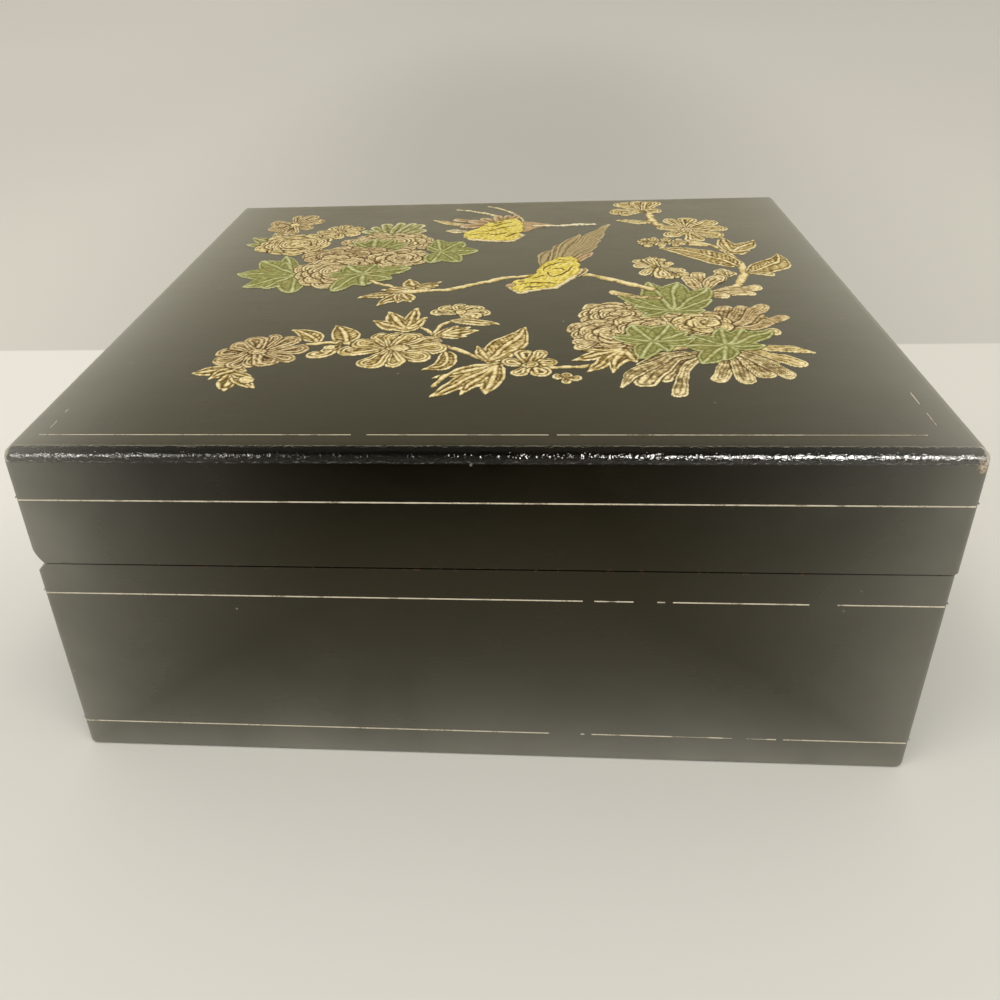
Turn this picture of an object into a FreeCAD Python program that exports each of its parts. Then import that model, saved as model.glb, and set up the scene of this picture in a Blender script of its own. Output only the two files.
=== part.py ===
"""Square lacquered box with a hinged lid and a drawer that comes out as the lid is lifted.

Frame: +Z up, origin at the middle of the underside. The hinge runs along the -X side, the
drawer comes out of the +X side, and the linkage stands inside the +Y wall. Millimetres.
"""
import FreeCAD, Part
import math
import os
import re
import Sketcher

# Driving sizes: millimetres, and degrees where the name says angle
SIZES = [
    # Outside of the box
    ("case_width", "190"),
    ("case_depth", "190"),
    ("seam_height", "53.1"),
    ("box_height", "81"),
    ("lid_overhang", "0.5"),
    ("corner_radius", "2"),
    ("top_edge_radius", "3"),
    ("foot_edge_radius", "1"),
    # Walls, seam and the bevels that stop the lid
    ("wall", "9"),
    ("seam_gap", "0.3"),
    ("bevel_depth", "2.5"),
    ("lid_bevel_angle", "56"),
    ("case_bevel_angle", "44"),
    # Boards let into the walls
    ("groove_depth", "3"),
    ("bottom_lift", "4"),
    ("bottom_thick", "4"),
    ("shelf_thick", "3"),
    ("lid_panel_thick", "5"),
    ("partition_thick", "2"),
    ("partition_drop", "0.6"),
    ("lining_thick", "1"),
    ("lining_drop", "2"),
    # Drawer
    ("drawer_sill", "9.5"),
    ("drawer_head_cover", "1"),
    ("drawer_side_room", "6.5"),
    ("drawer_board", "4"),
    ("drawer_floor_thick", "2.5"),
    ("drawer_floor_lift", "1.5"),
    ("drawer_floor_groove", "2"),
    ("drawer_top_room", "0.5"),
    ("drawer_rear_room", "2"),
    ("slide_gap", "0.3"),
    ("runner_width", "10"),
    ("guide_height", "12"),
    # Lid mirror
    ("mirror_margin", "20"),
    ("mirror_thick", "2"),
    ("mirror_corner", "5"),
    ("mirror_bevel", "1"),
    # Butt hinges
    ("hinge_inset", "33"),
    ("hinge_length", "25"),
    ("knuckle_gap", "0.2"),
    ("barrel_radius", "1.7"),
    ("pin_radius", "0.7"),
    ("pin_play", "0.05"),
    ("pin_ease", "0.2"),
    ("leaf_thick", "0.9"),
    ("leaf_setback", "0.2"),
    ("barrel_room", "0.3"),
    ("screw_head_radius", "1.3"),
    ("screw_head_depth", "0.8"),
    ("screw_shank_radius", "0.7"),
    ("screw_length", "5"),
    ("screw_spacing", "8"),
    # Linkage of lid strap, link, bell crank and slotted plate
    ("pivot_drop", "4.5"),
    ("crank_short", "16.5"),
    ("link_start_angle", "16"),
    ("arm_radius", "3.2"),
    ("hub_radius", "4"),
    ("crank_thick", "1.3"),
    ("link_thick", "1.2"),
    ("washer_thick", "0.5"),
    ("layer_gap", "0.3"),
    ("run_gap", "0.1"),
    ("rivet_radius", "1.2"),
    ("rivet_head_radius", "2.1"),
    ("rivet_head_thick", "0.5"),
    ("stud_radius", "1.5"),
    ("stud_head_radius", "2.6"),
    ("stud_head_thick", "0.9"),
    ("stud_depth", "4"),
    ("push_pin_radius", "1.5"),
    ("push_pin_end_gap", "0.4"),
    ("strap_length", "26"),
    ("strap_screw_inset", "5"),
    ("strap_screw_spacing", "9"),
    ("slot_plate_thick", "1.5"),
    ("slot_plate_edge", "2.2"),
    ("slot_plate_tab", "10"),
    ("plate_floor_room", "2.1"),
    ("plate_head_room", "0.9"),
    ("plate_rear_room", "5.4"),
    ("notch_room", "1"),
    # One overrun serves every cut
    ("overrun", "1"),
]

# Shares of another size
SHARES = [
    ("slot_play_share", "0.05"),
    ("strap_rise_share", "0.9"),
    ("plate_screw_share", "0.5"),
]

# Knuckles on each leaf of a hinge
KNUCKLES = {"case": 3, "lid": 2}

# Places worked out from the driving sizes
PLACES = [
    ("half_x", "case_width / 2"),
    ("half_y", "case_depth / 2"),
    ("inner_x", "half_x - wall"),
    ("inner_y", "half_y - wall"),
    ("front_x", "half_x + lid_overhang"),
    ("half_gap", "seam_gap / 2"),
    ("rim_z", "seam_height - half_gap"),
    ("lid_low_z", "seam_height + half_gap"),
    ("panel_low_z", "box_height - lid_panel_thick"),
    ("corner_cut", "corner_radius * (1 - sqrt(0.5))"),
    ("hinge_x", "bevel_depth - half_x"),
    ("opening_angle", "lid_bevel_angle + case_bevel_angle"),
    ("bottom_top_z", "bottom_lift + bottom_thick"),
    # Linkage in side view: the slotted plate fills the height between the bottom board and the shelf
    ("pivot_z", "rim_z - pivot_drop"),
    ("crank_long", "(pivot_z - bottom_top_z - plate_floor_room - push_pin_radius - slot_plate_edge)"
                   " / (1 + slot_play_share)"),
    ("slot_half", "push_pin_radius + slot_play_share * crank_long"),
    ("half_travel", "crank_long * sin(opening_angle / 2)"),
    ("drawer_travel", "2 * half_travel"),
    ("pivot_x", "plate_rear_room + slot_plate_edge + slot_half + half_travel - inner_x"),
    ("strap_pin_x", "hinge_x + crank_short * cos(link_start_angle)"),
    ("strap_pin_z", "seam_height + crank_short * sin(link_start_angle)"),
    ("crank_pin_x", "pivot_x + crank_short * cos(link_start_angle)"),
    ("crank_pin_z", "pivot_z + crank_short * sin(link_start_angle)"),
    ("push_x", "pivot_x - half_travel"),
    ("push_z", "pivot_z - crank_long * cos(opening_angle / 2)"),
    ("push_low_z", "pivot_z - crank_long"),
    ("plate_in_x", "push_x - slot_half - slot_plate_edge"),
    ("plate_out_x", "push_x + slot_half + slot_plate_tab"),
    ("plate_low_z", "push_low_z - slot_half - slot_plate_edge"),
    ("plate_top_z", "push_z + slot_half + slot_plate_edge"),
    ("plate_screw_spacing", "plate_screw_share * (plate_top_z - plate_low_z)"),
    # The strap leans as far as the lid's depth lets it
    ("lid_lining_z", "panel_low_z - lining_thick"),
    ("strap_rise", "strap_rise_share * (lid_lining_z - strap_pin_z - arm_radius - layer_gap)"),
    ("strap_run", "sqrt(strap_length ^ 2 - strap_rise ^ 2)"),
    # Boards above the drawer
    ("shelf_lift", "plate_top_z + plate_head_room"),
    ("shelf_top_z", "shelf_lift + shelf_thick"),
    ("drawer_head", "shelf_top_z + drawer_head_cover"),
    ("notch_reach", "(pivot_z - shelf_lift) * tan(opening_angle / 2)"
                    " + arm_radius / cos(opening_angle / 2) + notch_room"),
    # Drawer
    ("drawer_y", "inner_y - drawer_side_room"),
    ("drawer_low_z", "drawer_sill + slide_gap"),
    ("drawer_top_z", "shelf_lift - drawer_top_room"),
    ("drawer_rear_x", "drawer_rear_room - inner_x"),
    ("front_back_x", "inner_x + slide_gap"),
    ("front_side_y", "inner_y - slide_gap"),
    ("front_top_z", "drawer_head - slide_gap"),
    ("drawer_floor_z", "drawer_low_z + drawer_floor_lift"),
    ("drawer_floor_top_z", "drawer_floor_z + drawer_floor_thick"),
    ("drawer_in_y", "drawer_y - drawer_board"),
    ("drawer_in_x", "drawer_rear_x + drawer_board"),
    ("guide_start_x", "plate_out_x + drawer_travel + notch_room"),
    # Linkage layers, from the right wall inwards
    ("crank_out_y", "inner_y - washer_thick - run_gap"),
    ("crank_in_y", "crank_out_y - crank_thick"),
    ("link_out_y", "crank_in_y - layer_gap"),
    ("link_in_y", "link_out_y - link_thick"),
    ("partition_out_y", "link_in_y - run_gap - rivet_head_thick - layer_gap"),
    ("partition_in_y", "partition_out_y - partition_thick"),
    # Hinges
    ("hinge_spread", "case_depth - 2 * hinge_inset"),
    ("leaf_start_x", "hinge_x + barrel_radius + barrel_room"),
    ("leaf_end_x", "0 - inner_x - leaf_setback"),
    ("leaf_screw_x", "(leaf_start_x + leaf_end_x) / 2"),
    ("knuckle_pitch", "hinge_length / %d" % sum(KNUCKLES.values())),
    ("knuckle_length", "knuckle_pitch - knuckle_gap"),
    ("bore_radius", "pin_radius + pin_play"),
    # Mirror
    ("mirror_x", "inner_x - mirror_margin"),
    ("mirror_y", "inner_y - mirror_margin"),
    ("mirror_low_z", "lid_lining_z - mirror_thick"),
]

doc = FreeCAD.newDocument("drawer_box")
sheet = doc.addObject("Spreadsheet::Sheet", "Sizes")
for row, (alias, text) in enumerate(SIZES + SHARES, start=1):
    sheet.set("A%d" % row, text)
    sheet.setAlias("A%d" % row, alias)
for row, (alias, text) in enumerate(PLACES, start=len(SIZES + SHARES) + 1):
    sheet.set("A%d" % row, "=" + text)
    sheet.setAlias("A%d" % row, alias)
doc.recompute()

ALIASES = {alias for alias, text in SIZES + SHARES + PLACES}
FULL_TURN = 360
# The name of each side and the sign of its y
SIDES = (("left", "-"), ("right", ""))
# Turns a cylinder so that it runs along +Y
ALONG_Y = FreeCAD.Placement(FreeCAD.Vector(), FreeCAD.Rotation(FreeCAD.Vector(1, 0, 0), -90))
nodes = {}


def full(text):
    """Put the sheet's name before each of its aliases in an expression."""
    return re.sub(r"[a-z_]+", lambda m: "Sizes." + m.group() if m.group() in ALIASES else m.group(), text)


def value(text):
    """The number that an expression in the sheet's names gives now."""
    return float(sheet.evalExpression(full(text).replace("Sizes.", "")))


def bind(thing, **sizes):
    """Tie properties of an object to expressions."""
    for prop, text in sizes.items():
        thing.setExpression(prop, full(text))


def bind_place(thing, x="0", y="0", z="0"):
    for axis, text in zip("xyz", (x, y, z)):
        thing.setExpression("Placement.Base." + axis, full(text))


def keep(thing, label):
    """Name an object as a finished sub-part."""
    thing.Label = label
    nodes[label] = thing
    return thing


def new_body(name):
    return doc.addObject("PartDesign::Body", name)


# Sketches
def new_sketch(body, name, plane, offset):
    """A sketch on one of the body's own planes, moved along the plane's normal."""
    sketch = body.newObject("Sketcher::SketchObject", name)
    feature = next(f for f in body.Origin.OriginFeatures if f.Role == plane)
    sketch.AttachmentSupport = (feature, [""])
    sketch.MapMode = "FlatFace"
    # The XZ plane looks towards -Y
    sign = "-" if plane == "XZ_Plane" else ""
    sketch.setExpression("AttachmentOffset.Base.z", full("%s(%s)" % (sign, offset)))
    return sketch


def fix_point(sketch, shape, end, x, y):
    """Hold one point of a sketch shape at two expressions."""
    for kind, text in (("DistanceX", x), ("DistanceY", y)):
        number = sketch.addConstraint(Sketcher.Constraint(kind, shape, end, value(text)))
        sketch.setExpression("Constraints[%d]" % number, full(text))


def fix_radius(sketch, shape, text):
    number = sketch.addConstraint(Sketcher.Constraint("Radius", shape, value(text)))
    sketch.setExpression("Constraints[%d]" % number, full(text))


def arc_between(start, end, radius):
    """The arc under a half circle that turns left from start to end."""
    chord = end - start
    rise = math.sqrt(radius ** 2 - chord.Length ** 2 / 4)
    left = FreeCAD.Vector(-chord.y, chord.x, 0).normalize()
    centre = (start + end) / 2 + left * rise
    angles = [math.atan2(p.y - centre.y, p.x - centre.x) for p in (start, end)]
    if angles[1] < angles[0]:
        angles[1] += 2 * math.pi
    return Part.ArcOfCircle(Part.Circle(centre, FreeCAD.Vector(0, 0, 1), radius), *angles)


def outline(sketch, points):
    """A closed outline, anticlockwise. A third entry is the radius of the arc that follows."""
    spots = [FreeCAD.Vector(value(p[0]), value(p[1]), 0) for p in points]
    count = len(points)
    for i, point in enumerate(points):
        after = spots[(i + 1) % count]
        if len(point) == 3:
            sketch.addGeometry(arc_between(spots[i], after, value(point[2])), False)
        else:
            sketch.addGeometry(Part.LineSegment(spots[i], after), False)
    for i in range(count):
        sketch.addConstraint(Sketcher.Constraint("Coincident", i, 2, (i + 1) % count, 1))
    for i, point in enumerate(points):
        fix_point(sketch, i, 1, point[0], point[1])
        if len(point) == 3:
            fix_radius(sketch, i, point[2])


def circle(sketch, x, y, radius):
    spot = FreeCAD.Vector(value(x), value(y), 0)
    number = sketch.addGeometry(Part.Circle(spot, FreeCAD.Vector(0, 0, 1), value(radius)), False)
    fix_point(sketch, number, 3, x, y)
    fix_radius(sketch, number, radius)


def bar(sketch, first, second, radius):
    """A straight arm with round ends about two centres."""
    ends = [FreeCAD.Vector(value(x), value(y), 0) for x, y in (first, second)]
    along = (ends[1] - ends[0]).normalize()
    left = FreeCAD.Vector(-along.y, along.x, 0)
    size = value(radius)
    heading = math.atan2(along.y, along.x)
    up = FreeCAD.Vector(0, 0, 1)
    quarter = math.pi / 2
    sketch.addGeometry(Part.ArcOfCircle(
        Part.Circle(ends[1], up, size), heading - quarter, heading + quarter), False)
    sketch.addGeometry(Part.LineSegment(ends[1] + left * size, ends[0] + left * size), False)
    sketch.addGeometry(Part.ArcOfCircle(
        Part.Circle(ends[0], up, size), heading + quarter, heading + 3 * quarter), False)
    sketch.addGeometry(Part.LineSegment(ends[0] - left * size, ends[1] - left * size), False)
    for a, b in ((0, 1), (1, 2), (2, 3), (3, 0)):
        sketch.addConstraint(Sketcher.Constraint("Tangent", a, 2, b, 1))
    sketch.addConstraint(Sketcher.Constraint("Equal", 0, 2))
    fix_point(sketch, 0, 3, *second)
    fix_point(sketch, 2, 3, *first)
    fix_radius(sketch, 0, radius)


# Features
def pad(body, sketch, length):
    feature = body.newObject("PartDesign::Pad", sketch.Name + "_pad")
    feature.Profile = sketch
    bind(feature, Length=length)
    sketch.Visibility = False
    return feature


def cut_through(body, sketch):
    """Cut a sketch right through the body, both ways."""
    feature = body.newObject("PartDesign::Pocket", sketch.Name + "_cut")
    feature.Profile = sketch
    feature.SideType = "Symmetric"
    feature.Type = "ThroughAll"
    return feature


def box_sides(low, high):
    """Length, width and height between two corners, as expressions."""
    return {side: "%s - (%s)" % (b, a) for side, a, b in zip(("Length", "Width", "Height"), low, high)}


def cut_box(body, name, low, high):
    """Cut a box out of a body, from its low corner to its high corner."""
    feature = body.newObject("PartDesign::SubtractiveBox", name)
    bind(feature, **box_sides(low, high))
    bind_place(feature, *low)
    return feature


def edges_that(feature, test):
    """Names of the edges of a feature's shape that pass a test."""
    return ["Edge%d" % i for i, edge in enumerate(feature.Shape.Edges, start=1) if test(edge)]


def fillet(body, base, radius, test):
    """Round the edges of the last feature that pass a test."""
    doc.recompute()
    feature = body.newObject("PartDesign::Fillet", base.Name + "_round")
    feature.Base = (base, edges_that(base, test))
    bind(feature, Radius=radius)
    return feature


def lies_at(edge, axis, text):
    """Whether an edge lies in the plane where one coordinate has a value."""
    place = value(text)
    box = edge.BoundBox
    low, high = (getattr(box, axis + end) for end in ("Min", "Max"))
    return math.isclose(low, place, abs_tol=1e-6) and math.isclose(high, place, abs_tol=1e-6)


def is_round(edge):
    return edge.Curve.TypeId == "Part::GeomCircle"


def plain_box(name, low, high):
    """A board from its low corner to its high corner."""
    board = doc.addObject("Part::Box", name)
    bind(board, **box_sides(low, high))
    bind_place(board, *low)
    return board


def minus(name, base, *tools):
    """A board with the room for other pieces cut out of it."""
    for tool in tools:
        cut = doc.addObject("Part::Cut", name)
        cut.Base = base
        cut.Tool = tool
        base = cut
    return base


# Outlines of walls and rails with mitred corners: outer corner, and the sign of its x and y
CORNERS = {
    "rear_left": ("-half_x", "-half_y", "-", "-"),
    "front_left": ("front_x", "-half_y", "", "-"),
    "front_right": ("front_x", "half_y", "", ""),
    "rear_right": ("-half_x", "half_y", "-", ""),
}


def mitred_outline(first, second):
    """Plan of a rail between two corners, taken anticlockwise round the box."""
    runs_along_x = CORNERS[first][1] == CORNERS[second][1]
    mitre, face, inner = [], [], []
    for corner in (first, second):
        x, y, sign_x, sign_y = CORNERS[corner]
        mitre.append(("%s - (%scorner_cut)" % (x, sign_x), "%s - (%scorner_cut)" % (y, sign_y)))
        inner.append((sign_x + "inner_x", sign_y + "inner_y"))
        if runs_along_x:
            face.append(("%s - (%scorner_radius)" % (x, sign_x), y))
        else:
            face.append((x, "%s - (%scorner_radius)" % (y, sign_y)))
    arc = ("corner_radius",)
    return [mitre[0] + arc, face[0], face[1] + arc, mitre[1], inner[1], inner[0]]


def square_end_outline(side):
    """Plan of a case side wall: mitred at the rear, square at the front with a round corner."""
    points = [
        ("corner_cut - half_x", "corner_cut - half_y", "corner_radius"),
        ("corner_radius - half_x", "-half_y"),
        ("half_x - corner_radius", "-half_y", "corner_radius"),
        ("half_x", "corner_radius - half_y"),
        ("half_x", "-inner_y"),
        ("-inner_x", "-inner_y"),
    ]
    if side == "left":
        return points
    # Mirrored to the other side and taken in reverse, so that it stays anticlockwise
    count = len(points)
    turned = []
    for i in range(count):
        x, y = points[count - 1 - i][:2]
        arc = points[(count - 2 - i) % count][2:]
        turned.append((x, "-(%s)" % y) + arc)
    return turned


def cut_bevel(body, name, part):
    """The bevel on the hinge side that lets the lid lean back and then stops it."""
    angle, edge, into, out = {
        "lid": ("lid_bevel_angle", "lid_low_z", "+", "-"),
        "case": ("case_bevel_angle", "rim_z", "-", "+"),
    }[part]
    apex_x = "hinge_x + half_gap * tan(%s / 2)" % angle
    rise = "(half_gap + bevel_depth * sin(%s)) / cos(%s)" % (angle, angle)
    face_z = "seam_height %s %s" % (into, rise)
    back_z = "%s %s overrun" % (edge, out)
    sketch = new_sketch(body, name, "XZ_Plane", "0")
    points = [(apex_x, edge), ("-half_x", face_z), ("-half_x - overrun", face_z),
              ("-half_x - overrun", back_z), (apex_x, back_z)]
    outline(sketch, points)
    return cut_through(body, sketch)


def cut_hinge_seats(body, name, low_z, high_z):
    """Room for both hinge barrels, and a seat as deep as the leaf."""
    for side, sign in SIDES:
        start = "%shinge_spread / 2 - hinge_length / 2" % sign
        room = body.newObject("PartDesign::SubtractiveCylinder", "%s_%s_room" % (name, side))
        room.Placement = ALONG_Y
        bind(room, Radius="barrel_radius + barrel_room", Height="hinge_length + 2 * barrel_room")
        bind_place(room, "hinge_x", start + " - barrel_room", "seam_height")
        cut_box(body, "%s_%s_seat" % (name, side),
                ("hinge_x", start, low_z), ("-inner_x + overrun", start + " + hinge_length", high_z))


# Case
def case_side_wall(side):
    body = new_body("case_%s_wall_blank" % side)
    sketch = new_sketch(body, "case_%s_plan" % side, "XY_Plane", "0")
    outline(sketch, square_end_outline(side))
    wall = pad(body, sketch, "rim_z")
    face = "-half_y" if side == "left" else "half_y"
    fillet(body, wall, "foot_edge_radius", lambda e: lies_at(e, "Z", "0") and (
        is_round(e) or lies_at(e, "Y", face) or lies_at(e, "X", "half_x")))
    low_y, high_y = ("-inner_y - groove_depth", "-inner_y + overrun") if side == "left" else \
                    ("inner_y - overrun", "inner_y + groove_depth")
    cut_box(body, "case_%s_bottom_groove" % side, ("-inner_x - groove_depth", low_y, "bottom_lift"),
            ("inner_x + groove_depth", high_y, "bottom_top_z"))
    cut_box(body, "case_%s_shelf_groove" % side, ("-inner_x - groove_depth", low_y, "shelf_lift"),
            ("inner_x", high_y, "shelf_top_z"))
    cut_bevel(body, "case_%s_bevel" % side, "case")
    return body


def case_back_wall(screws):
    body = new_body("case_back_wall_blank")
    sketch = new_sketch(body, "case_back_plan", "XY_Plane", "0")
    outline(sketch, mitred_outline("rear_right", "rear_left"))
    wall = pad(body, sketch, "rim_z")
    fillet(body, wall, "foot_edge_radius", lambda e: lies_at(e, "Z", "0") and (
        is_round(e) or lies_at(e, "X", "-half_x")))
    for board, low_z, high_z in (
            ("bottom", "bottom_lift", "bottom_top_z"), ("shelf", "shelf_lift", "shelf_top_z")):
        cut_box(body, "case_back_%s_groove" % board,
                ("-inner_x - groove_depth", "-inner_y - groove_depth", low_z),
                ("-inner_x + overrun", "inner_y + groove_depth", high_z))
    cut_bevel(body, "case_back_bevel", "case")
    cut_hinge_seats(body, "case_back", "rim_z - leaf_thick", "rim_z + overrun")
    keep(minus("case_back_wall", body, screws), "case_back_wall")


def case_front_rails():
    """The rails below and above the drawer, between the side walls."""
    body = keep(new_body("case_front_bottom_rail"), "case_front_bottom_rail")
    sketch = new_sketch(body, "bottom_rail_section", "XZ_Plane", "inner_y")
    outline(sketch, [
        ("inner_x", "0"), ("half_x - foot_edge_radius", "0", "foot_edge_radius"),
        ("half_x", "foot_edge_radius"), ("half_x", "drawer_sill"),
        ("inner_x", "drawer_sill"), ("inner_x", "bottom_top_z"),
        ("inner_x + groove_depth", "bottom_top_z"), ("inner_x + groove_depth", "bottom_lift"),
        ("inner_x", "bottom_lift")])
    pad(body, sketch, "2 * inner_y")
    name = "case_front_top_rail"
    keep(plain_box(name, ("inner_x", "-inner_y", "drawer_head"), ("half_x", "inner_y", "rim_z")), name)


def case_boards():
    """Bottom, compartment floor with its notch for the crank, and the partition before the linkage."""
    keep(plain_box("case_bottom_board", ("-inner_x - groove_depth", "-inner_y - groove_depth", "bottom_lift"),
                   ("inner_x + groove_depth", "inner_y + groove_depth", "bottom_top_z")), "case_bottom_board")
    body = keep(new_body("compartment_floor"), "compartment_floor")
    sketch = new_sketch(body, "floor_plan", "XY_Plane", "shelf_lift")
    outline(sketch, [
        ("-inner_x - groove_depth", "-inner_y - groove_depth"), ("inner_x", "-inner_y - groove_depth"),
        ("inner_x", "inner_y + groove_depth"), ("-inner_x - groove_depth", "inner_y + groove_depth")])
    pad(body, sketch, "shelf_thick")
    cut_box(body, "floor_notch", ("pivot_x - notch_reach", "partition_out_y", "shelf_lift - overrun"),
            ("pivot_x + notch_reach", "inner_y", "shelf_top_z + overrun"))
    keep(plain_box("linkage_partition", ("-inner_x", "partition_in_y", "shelf_top_z"),
                   ("inner_x", "partition_out_y", "rim_z - partition_drop")), "linkage_partition")


def lining(name, low, high, thick):
    """An open tray of lining: floor and four sides."""
    outer = plain_box(name + "_outside", low, high)
    inner_low = ("%s + %s" % (low[0], thick), "%s + %s" % (low[1], thick), "%s + %s" % (low[2], thick))
    inner_high = ("%s - %s" % (high[0], thick), "%s - %s" % (high[1], thick), high[2] + " + overrun")
    inner = plain_box(name + "_inside", inner_low, inner_high)
    keep(minus(name, outer, inner), name)


def runners_and_guides():
    """Strips that the drawer slides on, and strips that keep it straight."""
    for side in ("left", "right"):
        low, high = {
            "left": ("-drawer_y", "-drawer_y + runner_width"),
            "right": ("drawer_y - runner_width", "drawer_y"),
        }[side]
        name = "drawer_runner_" + side
        keep(plain_box(name, ("-inner_x", low, "bottom_top_z"), ("inner_x", high, "drawer_sill")), name)
    top = "bottom_top_z + guide_height"
    keep(plain_box("drawer_guide_left", ("-inner_x", "-inner_y", "bottom_top_z"),
                   ("inner_x", "-drawer_y - slide_gap", top)), "drawer_guide_left")
    keep(plain_box("drawer_guide_right", ("guide_start_x", "drawer_y + slide_gap", "bottom_top_z"),
                   ("inner_x", "inner_y", top)), "drawer_guide_right")


# Drawer
def drawer():
    front = keep(new_body("drawer_front"), "drawer_front")
    sketch = new_sketch(front, "drawer_front_face", "YZ_Plane", "front_back_x")
    outline(sketch, [("-front_side_y", "drawer_low_z"), ("front_side_y", "drawer_low_z"),
                     ("front_side_y", "front_top_z"), ("-front_side_y", "front_top_z")])
    pad(front, sketch, "half_x - front_back_x")
    groove_low = "drawer_floor_z"
    groove_high = "drawer_floor_top_z"
    cut_box(front, "drawer_front_groove",
            ("front_back_x - overrun", "-drawer_in_y - drawer_floor_groove", groove_low),
            ("front_back_x + drawer_floor_groove", "drawer_in_y + drawer_floor_groove", groove_high))
    for side, high, cut_low, cut_high in (
            ("left", "-drawer_in_y", "-drawer_in_y - drawer_floor_groove", "-drawer_in_y + overrun"),
            ("right", "drawer_y", "drawer_in_y - overrun", "drawer_in_y + drawer_floor_groove")):
        body = new_body("drawer_%s_side_blank" % side)
        sketch = new_sketch(body, "drawer_%s_face" % side, "XZ_Plane", high)
        outline(sketch, [("drawer_rear_x", "drawer_low_z"), ("front_back_x", "drawer_low_z"),
                         ("front_back_x", "drawer_top_z"), ("drawer_rear_x", "drawer_top_z")])
        pad(body, sketch, "drawer_board")
        cut_box(body, "drawer_%s_groove" % side, ("drawer_in_x - drawer_floor_groove", cut_low, groove_low),
                ("front_back_x", cut_high, groove_high))
        if side == "left":
            keep(body, "drawer_left_side")
        else:
            keep(minus("drawer_right_side", body, nodes["slot_plate_screws"]), "drawer_right_side")
    back = keep(new_body("drawer_back"), "drawer_back")
    sketch = new_sketch(back, "drawer_back_face", "YZ_Plane", "drawer_rear_x")
    outline(sketch, [("-drawer_in_y", "drawer_low_z"), ("drawer_in_y", "drawer_low_z"),
                     ("drawer_in_y", "drawer_top_z"), ("-drawer_in_y", "drawer_top_z")])
    pad(back, sketch, "drawer_board")
    cut_box(back, "drawer_back_groove",
            ("drawer_in_x - drawer_floor_groove", "-drawer_in_y - overrun", groove_low),
            ("drawer_in_x + overrun", "drawer_in_y + overrun", groove_high))
    keep(plain_box("drawer_bottom",
                   ("drawer_in_x - drawer_floor_groove", "-drawer_in_y - drawer_floor_groove", groove_low),
                   ("front_back_x + drawer_floor_groove", "drawer_in_y + drawer_floor_groove", groove_high)),
         "drawer_bottom")
    lining("drawer_lining", ("drawer_in_x", "-drawer_in_y", "drawer_floor_top_z"),
           ("front_back_x", "drawer_in_y", "drawer_top_z - lining_drop"), "lining_thick")


# Lid
RAILS = {
    "lid_left_rail": ("rear_left", "front_left"),
    "lid_front_rail": ("front_left", "front_right"),
    "lid_right_rail": ("front_right", "rear_right"),
    "lid_back_rail": ("rear_right", "rear_left"),
}


def lid_rail(name):
    body = new_body(name + "_blank")
    sketch = new_sketch(body, name + "_plan", "XY_Plane", "lid_low_z")
    points = mitred_outline(*RAILS[name])
    outline(sketch, points)
    pad(body, sketch, "panel_low_z - lid_low_z")
    if name != "lid_front_rail":
        cut_bevel(body, name + "_bevel", "lid")
    return body


def lid_panel():
    """The top, with round upright corners and a rounder edge all round its upper face."""
    body = keep(new_body("lid_top_panel"), "lid_top_panel")
    sketch = new_sketch(body, "lid_panel_plan", "XY_Plane", "panel_low_z")
    outline(sketch, [
        ("corner_radius - half_x", "-half_y"), ("front_x - corner_radius", "-half_y", "corner_radius"),
        ("front_x", "corner_radius - half_y"), ("front_x", "half_y - corner_radius", "corner_radius"),
        ("front_x - corner_radius", "half_y"), ("corner_radius - half_x", "half_y", "corner_radius"),
        ("-half_x", "half_y - corner_radius"), ("-half_x", "corner_radius - half_y", "corner_radius")])
    panel = pad(body, sketch, "lid_panel_thick")
    fillet(body, panel, "top_edge_radius", lambda e: lies_at(e, "Z", "box_height"))


def lid_inside():
    """Lining board under the top, and the mirror with its ground edge."""
    keep(plain_box("lid_lining", ("-inner_x", "-inner_y", "lid_lining_z"),
                   ("inner_x", "inner_y", "panel_low_z")), "lid_lining")
    body = keep(new_body("lid_mirror"), "lid_mirror")
    sketch = new_sketch(body, "mirror_plan", "XY_Plane", "mirror_low_z")
    in_x = "(mirror_x - mirror_corner)"
    in_y = "(mirror_y - mirror_corner)"
    outline(sketch, [
        ("-" + in_x, "-mirror_y"), (in_x, "-mirror_y", "mirror_corner"), ("mirror_x", "-" + in_y),
        ("mirror_x", in_y, "mirror_corner"), (in_x, "mirror_y"), ("-" + in_x, "mirror_y", "mirror_corner"),
        ("-mirror_x", in_y), ("-mirror_x", "-" + in_y, "mirror_corner")])
    glass = pad(body, sketch, "mirror_thick")
    doc.recompute()
    bevel = body.newObject("PartDesign::Chamfer", "mirror_bevel_edge")
    bevel.Base = (glass, edges_that(glass, lambda e: lies_at(e, "Z", "mirror_low_z")))
    bind(bevel, Size="mirror_bevel")


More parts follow.
